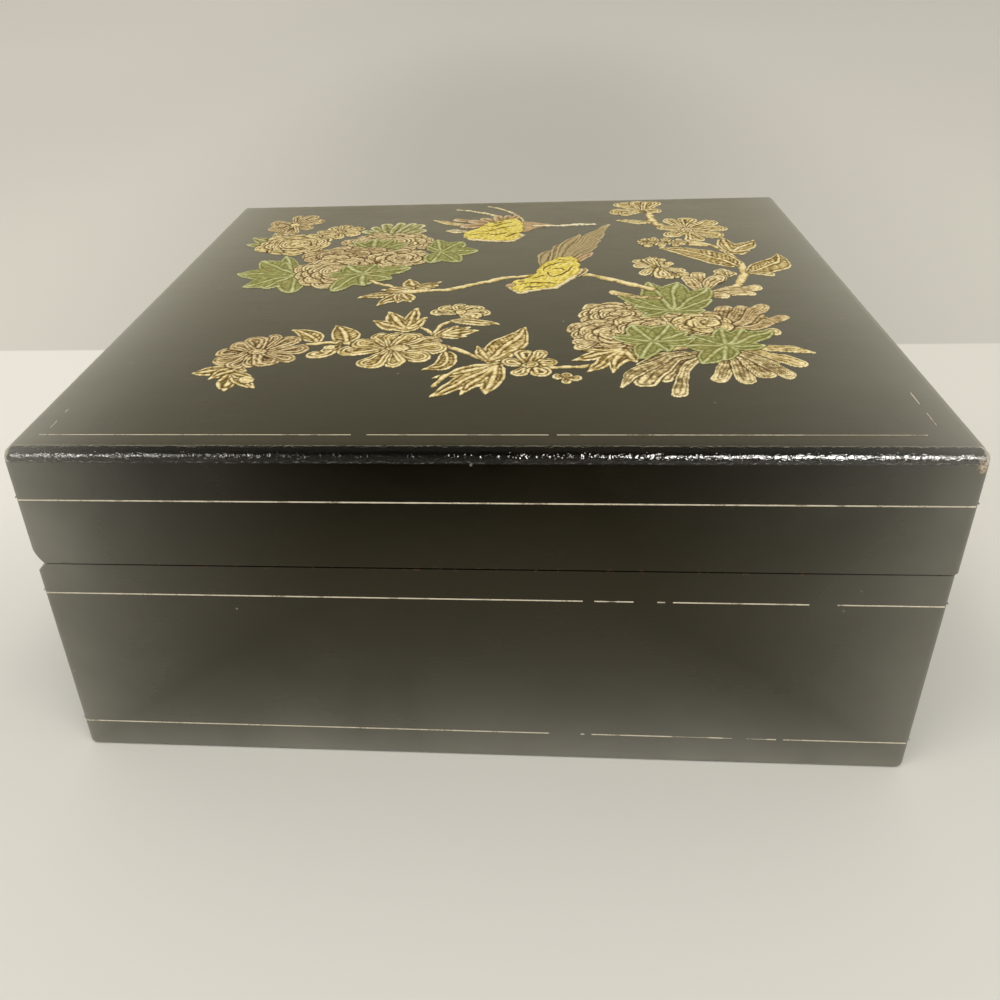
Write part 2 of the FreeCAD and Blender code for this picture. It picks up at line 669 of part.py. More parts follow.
# Hinges
def leaf(side, sign, part):
    """One leaf with its knuckles. The lid leaf's stand between those of the case leaf."""
    low_z, high_z, first = {
        "case": ("rim_z - leaf_thick", "rim_z", "0"),
        "lid": ("lid_low_z", "lid_low_z + leaf_thick", "knuckle_pitch"),
    }[part]
    start = "%shinge_spread / 2 - hinge_length / 2" % sign
    name = "hinge_%s_%s_leaf" % (side, part)
    body = new_body(name + "_blank")
    plate = new_sketch(body, name + "_plate", "XZ_Plane", start + " + hinge_length")
    outline(plate, [
        ("leaf_start_x", low_z), ("leaf_end_x", low_z), ("leaf_end_x", high_z), ("leaf_start_x", high_z)])
    pad(body, plate, "hinge_length")
    # A knuckle and the web that joins it to the plate
    end = "%s + %s + knuckle_gap / 2 + knuckle_length" % (start, first)
    ring = new_sketch(body, name + "_ring", "XZ_Plane", end)
    circle(ring, "hinge_x", "seam_height", "barrel_radius")
    ring_pad = pad(body, ring, "knuckle_length")
    web = new_sketch(body, name + "_web", "XZ_Plane", end)
    web_x = "hinge_x + (bore_radius + barrel_radius) / 2"
    outline(web, [(web_x, low_z), ("leaf_start_x", low_z), ("leaf_start_x", high_z), (web_x, high_z)])
    web_pad = pad(body, web, "knuckle_length")
    row = body.newObject("PartDesign::LinearPattern", name + "_row")
    row.Originals = [ring_pad, web_pad]
    row.Direction = (next(f for f in body.Origin.OriginFeatures if f.Role == "Y_Axis"), [""])
    bind(row, Length="2 * knuckle_pitch * %d" % (KNUCKLES[part] - 1))
    row.Occurrences = KNUCKLES[part]
    body.Tip = row
    bore = new_sketch(body, name + "_bore", "XZ_Plane", "0")
    circle(bore, "hinge_x", "seam_height", "bore_radius")
    cut_through(body, bore)
    screws = nodes["hinge_%s_screws" % part]
    keep(minus(name, body, screws), name)


def screw_profile(sketch, head_radius, head_depth, shank_radius, length):
    """Half section of a countersunk screw with a short point, head at the sketch's origin."""
    point = "(%s)" % shank_radius
    outline(sketch, [
        ("0", "0 - " + length), (shank_radius, "0 - %s + %s" % (length, point)),
        (shank_radius, "0 - " + head_depth), (head_radius, "0"), ("0", "0")])


def turned(body, sketch):
    feature = body.newObject("PartDesign::Revolution", sketch.Name + "_turned")
    feature.Profile = sketch
    feature.ReferenceAxis = (sketch, ["V_Axis"])
    feature.Angle = FULL_TURN
    return feature


def hinge_pin(side, sign):
    """The pin, fixed in the case leaf's knuckles, with eased ends."""
    name = "hinge_%s_pin" % side
    body = keep(new_body(name), name)
    sketch = new_sketch(body, name + "_section", "XY_Plane", "seam_height")
    bind(sketch, **{"AttachmentOffset.Base.x": "hinge_x"})
    low = "%shinge_spread / 2 - hinge_length / 2" % sign
    high = low + " + hinge_length"
    outline(sketch, [
        ("0", low), ("pin_radius - pin_ease", low), ("pin_radius", low + " + pin_ease"),
        ("pin_radius", high + " - pin_ease"), ("pin_radius - pin_ease", high), ("0", high)])
    turned(body, sketch)


def screw_row(name, moves):
    """Screws along local -Z from the origin, repeated by moves of (role, length, count)."""
    body = new_body(name)
    sketch = new_sketch(body, name + "_section", "XZ_Plane", "0")
    screw_profile(sketch, "screw_head_radius", "screw_head_depth", "screw_shank_radius", "screw_length")
    screw = turned(body, sketch)
    many = body.newObject("PartDesign::MultiTransform", name + "_many")
    many.Originals = [screw]
    steps = []
    for role, length, count in moves:
        step = body.newObject("PartDesign::LinearPattern", "%s_%s_%d" % (name, role[0].lower(), count))
        step.Direction = (next(f for f in body.Origin.OriginFeatures if f.Role == role), [""])
        bind(step, Length=length)
        step.Occurrences = count
        steps.append(step)
    many.Transformations = steps
    body.Tip = many
    return body


def hinge_screws(part):
    """Three screws in each of the two leaves of the case or of the lid."""
    name = "hinge_%s_screws" % part
    body = screw_row(name, (("Y_Axis", "2 * screw_spacing", 3), ("Y_Axis", "hinge_spread", 2)))
    if part == "lid":
        body.Placement.Rotation = FreeCAD.Rotation(FreeCAD.Vector(0, 1, 0), 180)
    bind_place(body, "leaf_screw_x", "0 - hinge_spread / 2 - screw_spacing",
               {"case": "rim_z", "lid": "lid_low_z"}[part])
    keep(body, name)


# Linkage
def strap_screws():
    """Two screws that hold the strap to the lid's right rail."""
    body = screw_row("lid_strap_screws", (("X_Axis", "strap_screw_spacing", 2),))
    # Turned so that the screws point at +Y and the row follows the strap
    stand = FreeCAD.Rotation(FreeCAD.Vector(1, 0, 0), 90)
    tilt = math.degrees(math.asin(value("strap_rise / strap_length")))
    body.Placement.Rotation = FreeCAD.Rotation(FreeCAD.Vector(0, 1, 0), -tilt) * stand
    along = "(1 - (strap_screw_inset + strap_screw_spacing) / strap_length)"
    bind_place(body, "strap_pin_x + strap_run * " + along, "crank_in_y",
               "strap_pin_z + strap_rise * " + along)
    keep(body, "lid_strap_screws")


def plate_screws():
    """Two screws that hold the slotted plate to the drawer's right side."""
    body = screw_row("slot_plate_screws", (("Y_Axis", "plate_screw_spacing", 2),))
    body.Placement.Rotation = FreeCAD.Rotation(FreeCAD.Vector(1, 0, 0), -90)
    bind_place(body, "push_x + slot_half + slot_plate_tab / 2", "drawer_y + slot_plate_thick",
               "(plate_low_z + plate_top_z) / 2 + plate_screw_spacing / 2")
    keep(body, "slot_plate_screws")


def headed_pin(name, x, z, radius, low_y, high_y, head_radius, head_thick):
    """A pin along Y with its head at the low end, as one turned piece."""
    body = keep(new_body(name), name)
    sketch = new_sketch(body, name + "_section", "XY_Plane", z)
    bind(sketch, **{"AttachmentOffset.Base.x": x})
    outline(sketch, [
        ("0", "%s - %s" % (low_y, head_thick)), (head_radius, "%s - %s" % (low_y, head_thick)),
        (head_radius, low_y), (radius, low_y), (radius, high_y), ("0", high_y)])
    turned(body, sketch)
    return body


def arm_plate(name, bars, discs, holes, low_y, high_y):
    """A flat arm along Y, made of bars and discs, with round holes."""
    body = new_body(name)
    thick = "%s - (%s)" % (high_y, low_y)
    for i, (first, second) in enumerate(bars):
        sketch = new_sketch(body, "%s_bar_%d" % (name, i), "XZ_Plane", high_y)
        bar(sketch, first, second, "arm_radius")
        pad(body, sketch, thick)
    for i, (x, z, radius) in enumerate(discs):
        sketch = new_sketch(body, "%s_disc_%d" % (name, i), "XZ_Plane", high_y)
        circle(sketch, x, z, radius)
        pad(body, sketch, thick)
    sketch = new_sketch(body, name + "_holes", "XZ_Plane", high_y)
    for x, z, radius in holes:
        circle(sketch, x, z, radius)
    cut_through(body, sketch)
    return body


def linkage():
    strap_pin = ("strap_pin_x", "strap_pin_z")
    crank_pin = ("crank_pin_x", "crank_pin_z")
    pivot = ("pivot_x", "pivot_z")
    push = ("push_x", "push_z")
    strap_end = ("strap_pin_x + strap_run", "strap_pin_z + strap_rise")
    strap = arm_plate("lid_strap_blank", [(strap_pin, strap_end)], [], [strap_pin + ("rivet_radius",)],
                      "crank_in_y", "inner_y")
    keep(minus("lid_strap", strap, nodes["lid_strap_screws"]), "lid_strap")
    keep(arm_plate("connecting_link", [(strap_pin, crank_pin)], [],
                   [pin + ("rivet_radius + pin_play",) for pin in (strap_pin, crank_pin)],
                   "link_in_y", "link_out_y"), "connecting_link")
    crank_holes = [pivot + ("stud_radius + pin_play",), crank_pin + ("rivet_radius",),
                   push + ("push_pin_radius",)]
    crank = arm_plate("bell_crank", [(push, pivot), (pivot, crank_pin)], [pivot + ("hub_radius",)],
                      crank_holes, "crank_in_y", "crank_out_y")
    keep(crank, "bell_crank")
    for name, pin, high_y in (
            ("strap_rivet", strap_pin, "inner_y"), ("crank_rivet", crank_pin, "crank_out_y")):
        headed_pin(name, pin[0], pin[1], "rivet_radius", "link_in_y - run_gap", high_y,
                   "rivet_head_radius", "rivet_head_thick")
    push_pin = doc.addObject("Part::Cylinder", "push_pin")
    push_pin.Placement = ALONG_Y
    bind(push_pin, Radius="push_pin_radius", Height="crank_out_y - drawer_y - push_pin_end_gap")
    bind_place(push_pin, "push_x", "drawer_y + push_pin_end_gap", "push_z")
    keep(push_pin, "push_pin")
    headed_pin("crank_stud", "pivot_x", "pivot_z", "stud_radius", "crank_in_y - run_gap",
               "inner_y + stud_depth", "stud_head_radius", "stud_head_thick")
    washer = keep(new_body("crank_washer"), "crank_washer")
    sketch = new_sketch(washer, "washer_face", "XZ_Plane", "inner_y")
    circle(sketch, "pivot_x", "pivot_z", "arm_radius")
    circle(sketch, "pivot_x", "pivot_z", "stud_radius")
    pad(washer, sketch, "washer_thick")
    plate = new_body("slot_plate_blank")
    sketch = new_sketch(plate, "slot_plate_face", "XZ_Plane", "drawer_y + slot_plate_thick")
    outline(sketch, [("plate_in_x", "plate_low_z"), ("plate_out_x", "plate_low_z"),
                     ("plate_out_x", "plate_top_z"), ("plate_in_x", "plate_top_z")])
    pad(plate, sketch, "slot_plate_thick")
    slot = new_sketch(plate, "slot_plate_slot", "XZ_Plane", "drawer_y + slot_plate_thick")
    bar(slot, ("push_x", "push_low_z"), ("push_x", "push_z"), "slot_half")
    cut_through(plate, slot)
    keep(minus("slot_plate", plate, nodes["slot_plate_screws"]), "slot_plate")


hinge_screws("case")
hinge_screws("lid")
strap_screws()
plate_screws()

for hinge_side, hinge_sign in SIDES:
    leaf(hinge_side, hinge_sign, "case")
    leaf(hinge_side, hinge_sign, "lid")
    hinge_pin(hinge_side, hinge_sign)

linkage()

keep(case_side_wall("left"), "case_left_wall")
keep(minus("case_right_wall", case_side_wall("right"), nodes["crank_stud"]), "case_right_wall")
case_back_wall(nodes["hinge_case_screws"])
case_front_rails()
case_boards()
lining("compartment_lining", ("-inner_x", "-inner_y", "shelf_top_z"),
       ("inner_x", "partition_in_y", "rim_z - lining_drop"), "lining_thick")
runners_and_guides()
drawer()

keep(lid_rail("lid_left_rail"), "lid_left_rail")
keep(lid_rail("lid_front_rail"), "lid_front_rail")
keep(minus("lid_right_rail", lid_rail("lid_right_rail"), nodes["lid_strap_screws"]), "lid_right_rail")
back_rail = lid_rail("lid_back_rail")
cut_hinge_seats(back_rail, "lid_back", "lid_low_z - overrun", "lid_low_z + leaf_thick")
keep(minus("lid_back_rail", back_rail, nodes["hinge_lid_screws"]), "lid_back_rail")
lid_panel()
lid_inside()

doc.recompute()

# Nothing is written unless every object and every sub-part came out whole
for thing in doc.Objects:
    if "Invalid" in thing.State or "Error" in thing.State:
        raise RuntimeError("%s did not build: %s" % (thing.Label, thing.State))
for label, thing in nodes.items():
    if thing.Shape.isNull() or not thing.Shape.isValid():
        raise RuntimeError("%s has no valid shape" % label)

os.makedirs("parts", exist_ok=True)
for label, thing in nodes.items():
    thing.Shape.exportStep("parts/%s.step" % label)
    print(label, len(thing.Shape.Solids), "solids, volume", round(thing.Shape.Volume, 1))
print("drawer travel", round(value("drawer_travel"), 3), "opening angle", value("opening_angle"))
for label in ("hinge_x", "pivot_x", "pivot_z", "strap_pin_x", "strap_pin_z", "crank_pin_x", "crank_pin_z"):
    print(label, round(value(label), 4))
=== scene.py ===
"""Looks of the square lacquered box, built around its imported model. Metres, in the model's own frame."""
import math
import random

import bpy
import numpy as np
from mathutils import Matrix, Vector, noise


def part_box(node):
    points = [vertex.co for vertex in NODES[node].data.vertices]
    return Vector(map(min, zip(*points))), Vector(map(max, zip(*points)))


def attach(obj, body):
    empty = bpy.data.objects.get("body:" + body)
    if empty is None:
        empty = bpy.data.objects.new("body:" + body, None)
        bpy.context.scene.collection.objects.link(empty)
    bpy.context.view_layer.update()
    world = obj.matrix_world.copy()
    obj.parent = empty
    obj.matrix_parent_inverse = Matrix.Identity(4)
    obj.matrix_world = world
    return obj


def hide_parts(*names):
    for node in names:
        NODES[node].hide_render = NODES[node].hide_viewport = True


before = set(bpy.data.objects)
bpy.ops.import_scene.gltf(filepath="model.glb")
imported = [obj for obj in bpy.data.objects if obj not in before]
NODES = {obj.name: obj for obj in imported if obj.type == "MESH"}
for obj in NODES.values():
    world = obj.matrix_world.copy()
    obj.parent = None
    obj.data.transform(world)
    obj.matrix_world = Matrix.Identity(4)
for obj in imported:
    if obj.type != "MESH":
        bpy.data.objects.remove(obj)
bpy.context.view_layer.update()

MM = 0.001
SEED = 7

# Measured places on the box, in millimetres
LEFT_X = -95.0
RIGHT_X = 95.5
HALF_Y = 95.0
TOP_Z = 81.0
SURFACE_Z = 80.65
PANEL_LOW_Z = 76.0
SEAM_Z = 53.1
CORNER_RADIUS = 2.0
TOP_ROUND = 2.5

WARM_WHITE = (1.0, 0.97, 0.92)

# The camera, fitted to the box's edges in the photograph
CAMERA_PLACE = (11.06, -255.3, 167.1)
CAMERA_PITCH = 0.5344
CAMERA_YAW = -0.1047
CAMERA_ROLL = -0.0474
CAMERA_LENS = 34.40
CAMERA_SHIFT = (0.0559, -0.0086)


def add_object(name, data):
    made = bpy.data.objects.new(name, data)
    bpy.context.scene.collection.objects.link(made)
    return made


def make_camera():
    flat = math.cos(CAMERA_PITCH)
    forward = Vector((math.sin(CAMERA_YAW) * flat, math.cos(CAMERA_YAW) * flat, -math.sin(CAMERA_PITCH)))
    level = Vector((math.cos(CAMERA_YAW), -math.sin(CAMERA_YAW), 0))
    upright = level.cross(forward)
    across = math.cos(CAMERA_ROLL) * level + math.sin(CAMERA_ROLL) * upright
    up = -math.sin(CAMERA_ROLL) * level + math.cos(CAMERA_ROLL) * upright
    data = bpy.data.cameras.new("camera")
    data.sensor_width = 36.0
    data.lens = CAMERA_LENS
    data.shift_x, data.shift_y = CAMERA_SHIFT
    data.clip_start = 0.01
    data.clip_end = 50
    camera = add_object("camera", data)
    turn = Matrix((across, up, -forward)).transposed()
    camera.matrix_world = Matrix.Translation(Vector(CAMERA_PLACE) * MM) @ turn.to_4x4()
    bpy.context.scene.camera = camera


make_camera()


# Node materials
class Nodes:
    """Short calls that add nodes to one tree and link them."""

    def __init__(self, tree):
        self.tree = tree
        tree.nodes.clear()

    def feed(self, socket, source):
        """Link a socket to a node's output, or set it to a plain value."""
        if isinstance(source, bpy.types.NodeSocket):
            self.tree.links.new(source, socket)
        elif socket.type == "RGBA" and len(source) == 3:
            socket.default_value = (*source, 1)
        else:
            socket.default_value = source

    def node(self, kind, sources=None, output=0, **settings):
        """One output of a new node, after its settings and the sources of its sockets are given."""
        made = self.tree.nodes.new("ShaderNode" + kind)
        for name, setting in settings.items():
            setattr(made, name, setting)
        for key, source in (sources or {}).items():
            self.feed(made.inputs[key], source)
        return made.outputs[output]

    def math(self, operation, *values):
        return self.node("Math", dict(enumerate(values)), operation=operation)

    def times(self, first, *others):
        for other in others:
            first = self.math("MULTIPLY", first, other)
        return first

    def plus(self, first, second):
        return self.math("ADD", first, second)

    def absolute(self, value):
        return self.math("ABSOLUTE", value)

    def strongest(self, first, *others):
        for other in others:
            first = self.math("MAXIMUM", first, other)
        return first

    def span(self, value, low, high, to_low=0.0, to_high=1.0, smooth=True):
        """A value carried from one range to another, held at its ends."""
        sources = {"Value": value, "From Min": low, "From Max": high, "To Min": to_low, "To Max": to_high}
        return self.node("MapRange", sources, interpolation_type="SMOOTHSTEP" if smooth else "LINEAR")

    def between(self, value, rise, fall):
        """The product of two ramps. Each is (from, to, value at from, value at to)."""
        return self.times(self.span(value, *rise), self.span(value, *fall))

    def fades(self, value, reach):
        """1 at 0, falling off evenly by the same share over each reach."""
        return self.math("EXPONENT", self.math("DIVIDE", value, -reach))

    def near(self, value, place, reach):
        """1 where a value is at a place, falling to 0 at reach away from it."""
        return self.span(self.absolute(self.math("SUBTRACT", value, place)), 0, reach, 1, 0)

    def axes(self, vector):
        return self.node("SeparateXYZ", {0: vector}).node.outputs

    def mix_value(self, share, first, second):
        return self.node("Mix", {0: share, 2: first, 3: second})

    def mix(self, share, first, second):
        """Two colours mixed."""
        return self.node("Mix", {0: share, 6: first, 7: second}, 2, data_type="RGBA")


class Shader(Nodes):
    """A material with one principled shader."""

    def __init__(self, name):
        self.material = bpy.data.materials.new(name)
        self.material.use_nodes = True
        super().__init__(self.material.node_tree)
        out = self.tree.nodes.new("ShaderNodeOutputMaterial")
        self.bsdf = self.tree.nodes.new("ShaderNodeBsdfPrincipled")
        self.tree.links.new(self.bsdf.outputs[0], out.inputs["Surface"])

    def set(self, **sources):
        """Plain values are set on the sockets themselves."""
        for name, source in sources.items():
            self.feed(self.bsdf.inputs[name.replace("_", " ")], source)

    def place(self):
        """The point in the box's own frame at rest, in millimetres."""
        point = self.node("TexCoord", output="Object")
        return self.node("VectorMath", {0: point, "Scale": 1 / MM}, operation="SCALE")

    def facing(self):
        """The surface's own direction at rest."""
        return self.node("TexCoord", output="Normal")

    def stretch(self, vector, scale):
        return self.node("Mapping", {"Vector": vector, "Scale": scale})

    def noise(self, vector, size, detail=3.0, rough=0.5, warp=0.0):
        """Noise of about 0 to 1 whose lumps are size millimetres across."""
        shape = {"Scale": 1 / size, "Detail": detail, "Roughness": rough, "Distortion": warp}
        return self.node("TexNoise", {"Vector": vector, **shape}, "Fac")

    def cells(self, vector, size):
        return self.node("TexVoronoi", {"Vector": vector, "Scale": 1 / size}, "Distance")

    def tinted(self, share, most, base, tint):
        """A base colour with a tint laid over it, most of it where share is 1."""
        return self.mix(self.times(share, most), base, tint)

    def bump(self, height, depth, below=None):
        """Bump from a height of 0 to 1 that stands for depth millimetres."""
        sources = {"Distance": depth * MM, "Height": height}
        if below is not None:
            sources["Normal"] = below
        return self.node("Bump", sources)


def lacquer_painted_glare(s, axes, clouds, edge_x, edge_y):
    """Painted glare: a share that pales the lacquer towards the ends of each face, the foot and the back of
    the top, standing in for glare and blurred reflections. It is strongest on the top and on one side, weak
    on the other sides, and the hidden faces have none."""
    x, y, z = axes
    facing_x, _, facing_z = (s.absolute(part) for part in s.axes(s.facing()))
    across = s.mix_value(s.span(facing_x, 0.5, 0.9), edge_x, edge_y)
    upright = s.span(facing_z, 0.4, 0.9, 1, 0)
    lid_share = s.span(z, 40, 60)
    left, right = s.mix_value(lid_share, 0.54, 0.77), s.mix_value(lid_share, 0.46, 0.57)
    side_share = s.mix_value(s.span(x, -90, 90), left, right)
    side_ends = s.math("SUBTRACT", s.times(s.fades(across, 19), side_share), 0.012)
    side_ends = s.plus(side_ends, s.times(s.fades(across, 48), s.mix_value(lid_share, 0.085, 0.01)))
    steep = s.times(s.fades(across, 13), s.span(x, -95, 95, 0.96, 0.72, False))
    slow = s.times(s.fades(across, 45), s.span(x, -95, 95, 0.02, 0.10, False))
    ends = s.strongest(s.mix_value(upright, s.plus(steep, slow), side_ends), 0.0)
    foot = s.times(s.fades(z, 15), 0.62, upright)
    back = s.times(s.span(y, -60, 95, 0, 0.05, False), s.span(facing_z, 0.4, 0.9))
    painted_glare_and_haze = s.times(s.plus(s.strongest(ends, foot), back), s.span(clouds, 0.2, 0.8, 0.75, 1.1))
    top = s.span(z, 77.5, 79)
    shown = s.strongest(s.span(y, -93, -94, 0.3, 1), top)
    outer = s.strongest(s.span(edge_x, 0.4, 0.8, 1, 0), s.span(edge_y, 0.4, 0.8, 1, 0), top)
    return s.times(painted_glare_and_haze, s.times(shown, outer))


def lacquer():
    """Old semi-gloss black-brown lacquer: cloudy tone, painted glare towards the ends of its faces, dust
    nibs, fine scratches and rubbed edges.
    """
    s = Shader("black_lacquer")
    point = s.place()
    x, y, z = s.axes(point)
    clouds = s.noise(point, 38, 4, 0.55, 0.4)
    streaks = s.noise(s.stretch(point, (0.05, 1, 1)), 2.4, 3, 0.6)
    grain = s.noise(point, 0.9, 2, 0.5)
    fine = s.noise(point, 0.4, 2, 0.5)
    # Distance in from the box's outline, in plan
    edge_x = s.math("SUBTRACT", -LEFT_X, s.absolute(x))
    edge_y = s.math("SUBTRACT", HALF_Y, s.absolute(y))
    painted_glare_and_haze = lacquer_painted_glare(s, (x, y, z), clouds, edge_x, edge_y)
    base = s.mix(s.span(clouds, 0.3, 0.7), (0.0010, 0.0007, 0.0002), (0.0028, 0.0018, 0.0006))
    # Painted glare and reflection: pale grey laid over the black towards the ends of the faces, the foot and
    # the back of the top
    base = s.mix(painted_glare_and_haze, base, (0.31, 0.305, 0.27))
    # Dust nibs and light specks
    speck = s.span(s.cells(point, 6.5), 0.035, 0.055, 1, 0)
    speck = s.times(speck, s.span(s.noise(point, 17, 2), 0.54, 0.60))
    base = s.tinted(speck, 0.55, base, (0.30, 0.28, 0.22))
    # Rubbed arrises show the brown ground below the black
    rim = s.strongest(s.near(edge_x, 0, 0.9), s.near(edge_y, 0, 0.9))
    level = s.strongest(s.near(z, SURFACE_Z, 0.8), s.near(z, 0, 0.9), s.near(z, SEAM_Z, 0.8))
    corner = s.times(s.near(edge_x, 0, 1.0), s.near(edge_y, 0, 1.0))
    arris = s.strongest(corner, s.times(rim, level))
    rub = s.times(arris, s.span(s.noise(point, 2.2, 5, 0.7), 0.54, 0.66))
    base = s.tinted(rub, 0.7, base, (0.095, 0.048, 0.024))
    # The small chip at the lid's front right corner
    chip_place = {0: s.stretch(point, (1, 1, 0.8)), 1: (94.2, -94.8, 77.9 * 0.8)}
    away = s.node("VectorMath", chip_place, "Value", operation="DISTANCE")
    chip = s.span(s.plus(away, s.times(s.noise(point, 0.8, 3, 0.7), 3.0)), 2.5, 2.8, 1, 0)
    base = s.mix(chip, base, s.mix(s.span(fine, 0.4, 0.6), (0.30, 0.22, 0.15), (0.56, 0.50, 0.40)))
    s.set(Base_Color=base, IOR=1.46, Specular_Tint=(1.0, 0.88, 0.52))
    # The lacquer is also rougher where the painted glare lies
    rough = s.plus(s.span(clouds, 0.25, 0.75, 0.17, 0.25), s.times(painted_glare_and_haze, 0.22))
    rough = s.plus(rough, s.times(streaks, 0.06))
    # The front top edge has crawled lacquer under a glaze of its own, which breaks up its highlight
    front_round = s.times(s.span(y, -92.4, -92.9), s.span(z, 77.6, 78.2))
    rough = s.mix_value(front_round, rough, 0.17)
    s.set(Roughness=s.strongest(rough, s.times(s.strongest(rub, chip), 0.75)))
    s.set(Coat_Weight=front_round, Coat_IOR=4.0, Coat_Roughness=0.09)
    crawl = s.noise(s.stretch(point, (0.7, 1, 1)), 0.7, 2, 0.55, 0.6)
    crawl = s.times(s.math("SUBTRACT", crawl, 0.5), front_round)
    normal = s.bump(s.noise(point, 7, 3), 0.05, s.bump(grain, 0.004))
    normal = s.bump(speck, 0.08, s.bump(crawl, 0.13, normal))
    s.set(Normal=normal, Coat_Normal=normal)
    return s.material


def gold_line():
    """Thin painted gold line, rubbed through in places."""
    s = Shader("gold_line")
    point = s.place()
    fine = s.noise(point, 0.5, 3, 0.6)
    worn = s.span(s.plus(s.times(s.noise(point, 5, 4, 0.6), 0.6), s.times(fine, 0.4)), 0.50, 0.64)
    s.set(Base_Color=s.mix(worn, (0.66, 0.60, 0.46), (0.26, 0.21, 0.14)))
    s.set(Roughness=s.span(fine, 0.3, 0.7, 0.38, 0.6), Metallic=0.1, Normal=s.bump(fine, 0.01))
    return s.material


def relief_paint():
    """Gold, green and yellow paint on moulded lacquer, worn pale in patches on its crests. The paint colours
    hold painted shade in the grooves and painted highlight on the crests.
    """
    s = Shader("relief_paint")
    point = s.place()
    painted = s.node("Attribute", output="Color", attribute_name="paint")
    crest = s.node("Attribute", output="Fac", attribute_name="crest")
    fine = s.noise(point, 0.45, 3, 0.6)
    base = s.tinted(s.span(fine, 0.52, 0.70), 0.3, painted, (0.10, 0.065, 0.02))
    base = s.tinted(s.span(s.noise(point, 6, 3, 0.5), 0.5, 0.75), 0.2, base, (0.40, 0.29, 0.12))
    worn = s.times(s.span(crest, 0.75, 1.0), s.span(s.noise(point, 1.3, 3), 0.45, 0.6))
    base = s.tinted(worn, 0.35, base, (0.92, 0.84, 0.60))
    s.set(Base_Color=base, IOR=1.40, Specular_Tint=(1.0, 0.9, 0.6))
    s.set(Roughness=s.span(fine, 0.3, 0.7, 0.5, 0.65), Normal=s.bump(fine, 0.02))
    return s.material


def velvet():
    """Deep red cotton velvet whose pile lies this way and that."""
    s = Shader("red_velvet")
    point = s.place()
    crushed = s.noise(s.stretch(point, (1, 0.45, 1)), 5, 4, 0.6, 0.5)
    fibres = s.noise(point, 0.35, 3, 0.7)
    pile = s.plus(s.times(s.noise(point, 26, 3, 0.5, 0.8), 0.6), s.times(crushed, 0.4))
    base = s.mix(s.span(pile, 0.30, 0.70), (0.125, 0.007, 0.011), (0.19, 0.011, 0.016))
    s.set(Base_Color=s.tinted(s.span(fibres, 0.45, 0.7), 0.35, base, (0.34, 0.035, 0.045)))
    s.set(Roughness=s.span(pile, 0.3, 0.7, 0.95, 0.8), Specular_IOR_Level=0.15)
    s.set(Sheen_Weight=0.55, Sheen_Roughness=0.35, Sheen_Tint=(1.0, 0.55, 0.52))
    s.set(Normal=s.bump(crushed, 0.18, s.bump(fibres, 0.12)))
    return s.material


def plain_wood(name, grain):
    """Pale unvarnished wood with its grain along x or y, darkened a little by age and handling."""
    s = Shader(name)
    point = s.place()
    along_grain = (0.05, 1, 1) if grain == "x" else (1, 0.05, 1)
    bands = s.math("FRACT", s.times(s.noise(s.stretch(point, along_grain), 7, 2, 0.45, 1.2), 9))
    late = s.span(s.absolute(s.math("SUBTRACT", bands, 0.5)), 0.12, 0.5)
    pores = s.noise(s.stretch(point, tuple(v * 0.5 if v < 1 else v for v in along_grain)), 0.5, 3, 0.65)
    base = s.mix(late, (0.50, 0.345, 0.19), (0.36, 0.225, 0.11))
    base = s.tinted(s.span(pores, 0.56, 0.70), 0.5, base, (0.20, 0.115, 0.05))
    base = s.tinted(s.span(s.noise(point, 30, 4, 0.6), 0.50, 0.72), 0.4, base, (0.27, 0.17, 0.085))
    s.set(Base_Color=base, Roughness=s.span(pores, 0.3, 0.7, 0.58, 0.76))
    s.set(Normal=s.bump(late, 0.03, s.bump(pores, 0.06)))
    return s.material


def brass():
    """Old brass: yellow where it rubs, brown in its hollows, with fine scratches."""
    s = Shader("old_brass")
    point = s.place()
    tarnish = s.noise(point, 3.2, 5, 0.62, 0.3)
    scratches = s.noise(s.stretch(point, (0.12, 1, 1)), 0.22, 2, 0.5)
    base = s.mix(s.span(tarnish, 0.42, 0.68), (0.74, 0.53, 0.22), (0.34, 0.215, 0.085))
    base = s.tinted(s.span(scratches, 0.58, 0.72), 0.4, base, (0.84, 0.67, 0.36))
    s.set(Base_Color=base, Roughness=s.span(tarnish, 0.35, 0.7, 0.24, 0.52), Metallic=1.0)
    s.set(Normal=s.bump(scratches, 0.01, s.bump(tarnish, 0.02)))
    return s.material


def mirror():
    """Silvered glass, a little dusty, with foxing at its edges."""
    s = Shader("silvered_glass")
    point = s.place()
    x, y, _ = s.axes(point)
    rim = s.strongest(s.absolute(x), s.absolute(y))
    foxed = s.times(s.span(s.cells(point, 3.4), 0.10, 0.22, 1, 0), s.span(rim, 52, 66))
    s.set(Base_Color=s.tinted(foxed, 0.8, (0.83, 0.86, 0.85), (0.16, 0.14, 0.11)), Metallic=1.0)
    dust = s.span(s.noise(point, 14, 5, 0.6), 0.45, 0.75, 0.02, 0.09)
    s.set(Roughness=s.plus(dust, s.times(foxed, 0.4)))
    return s.material


# Meshes
def finish_object(name, vertices, faces, body, material, smooth=True):
    """A mesh object from points in millimetres, riding on a body."""
    mesh = bpy.data.meshes.new(name)
    mesh.from_pydata([Vector(v) * MM for v in vertices], [], faces)
    mesh.validate()
    mesh.materials.append(material)
    piece = add_object(name, mesh)
    if smooth:
        mesh.shade_smooth()
        mesh.set_sharp_from_angle(angle=math.radians(40))
    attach(piece, body)
    return piece


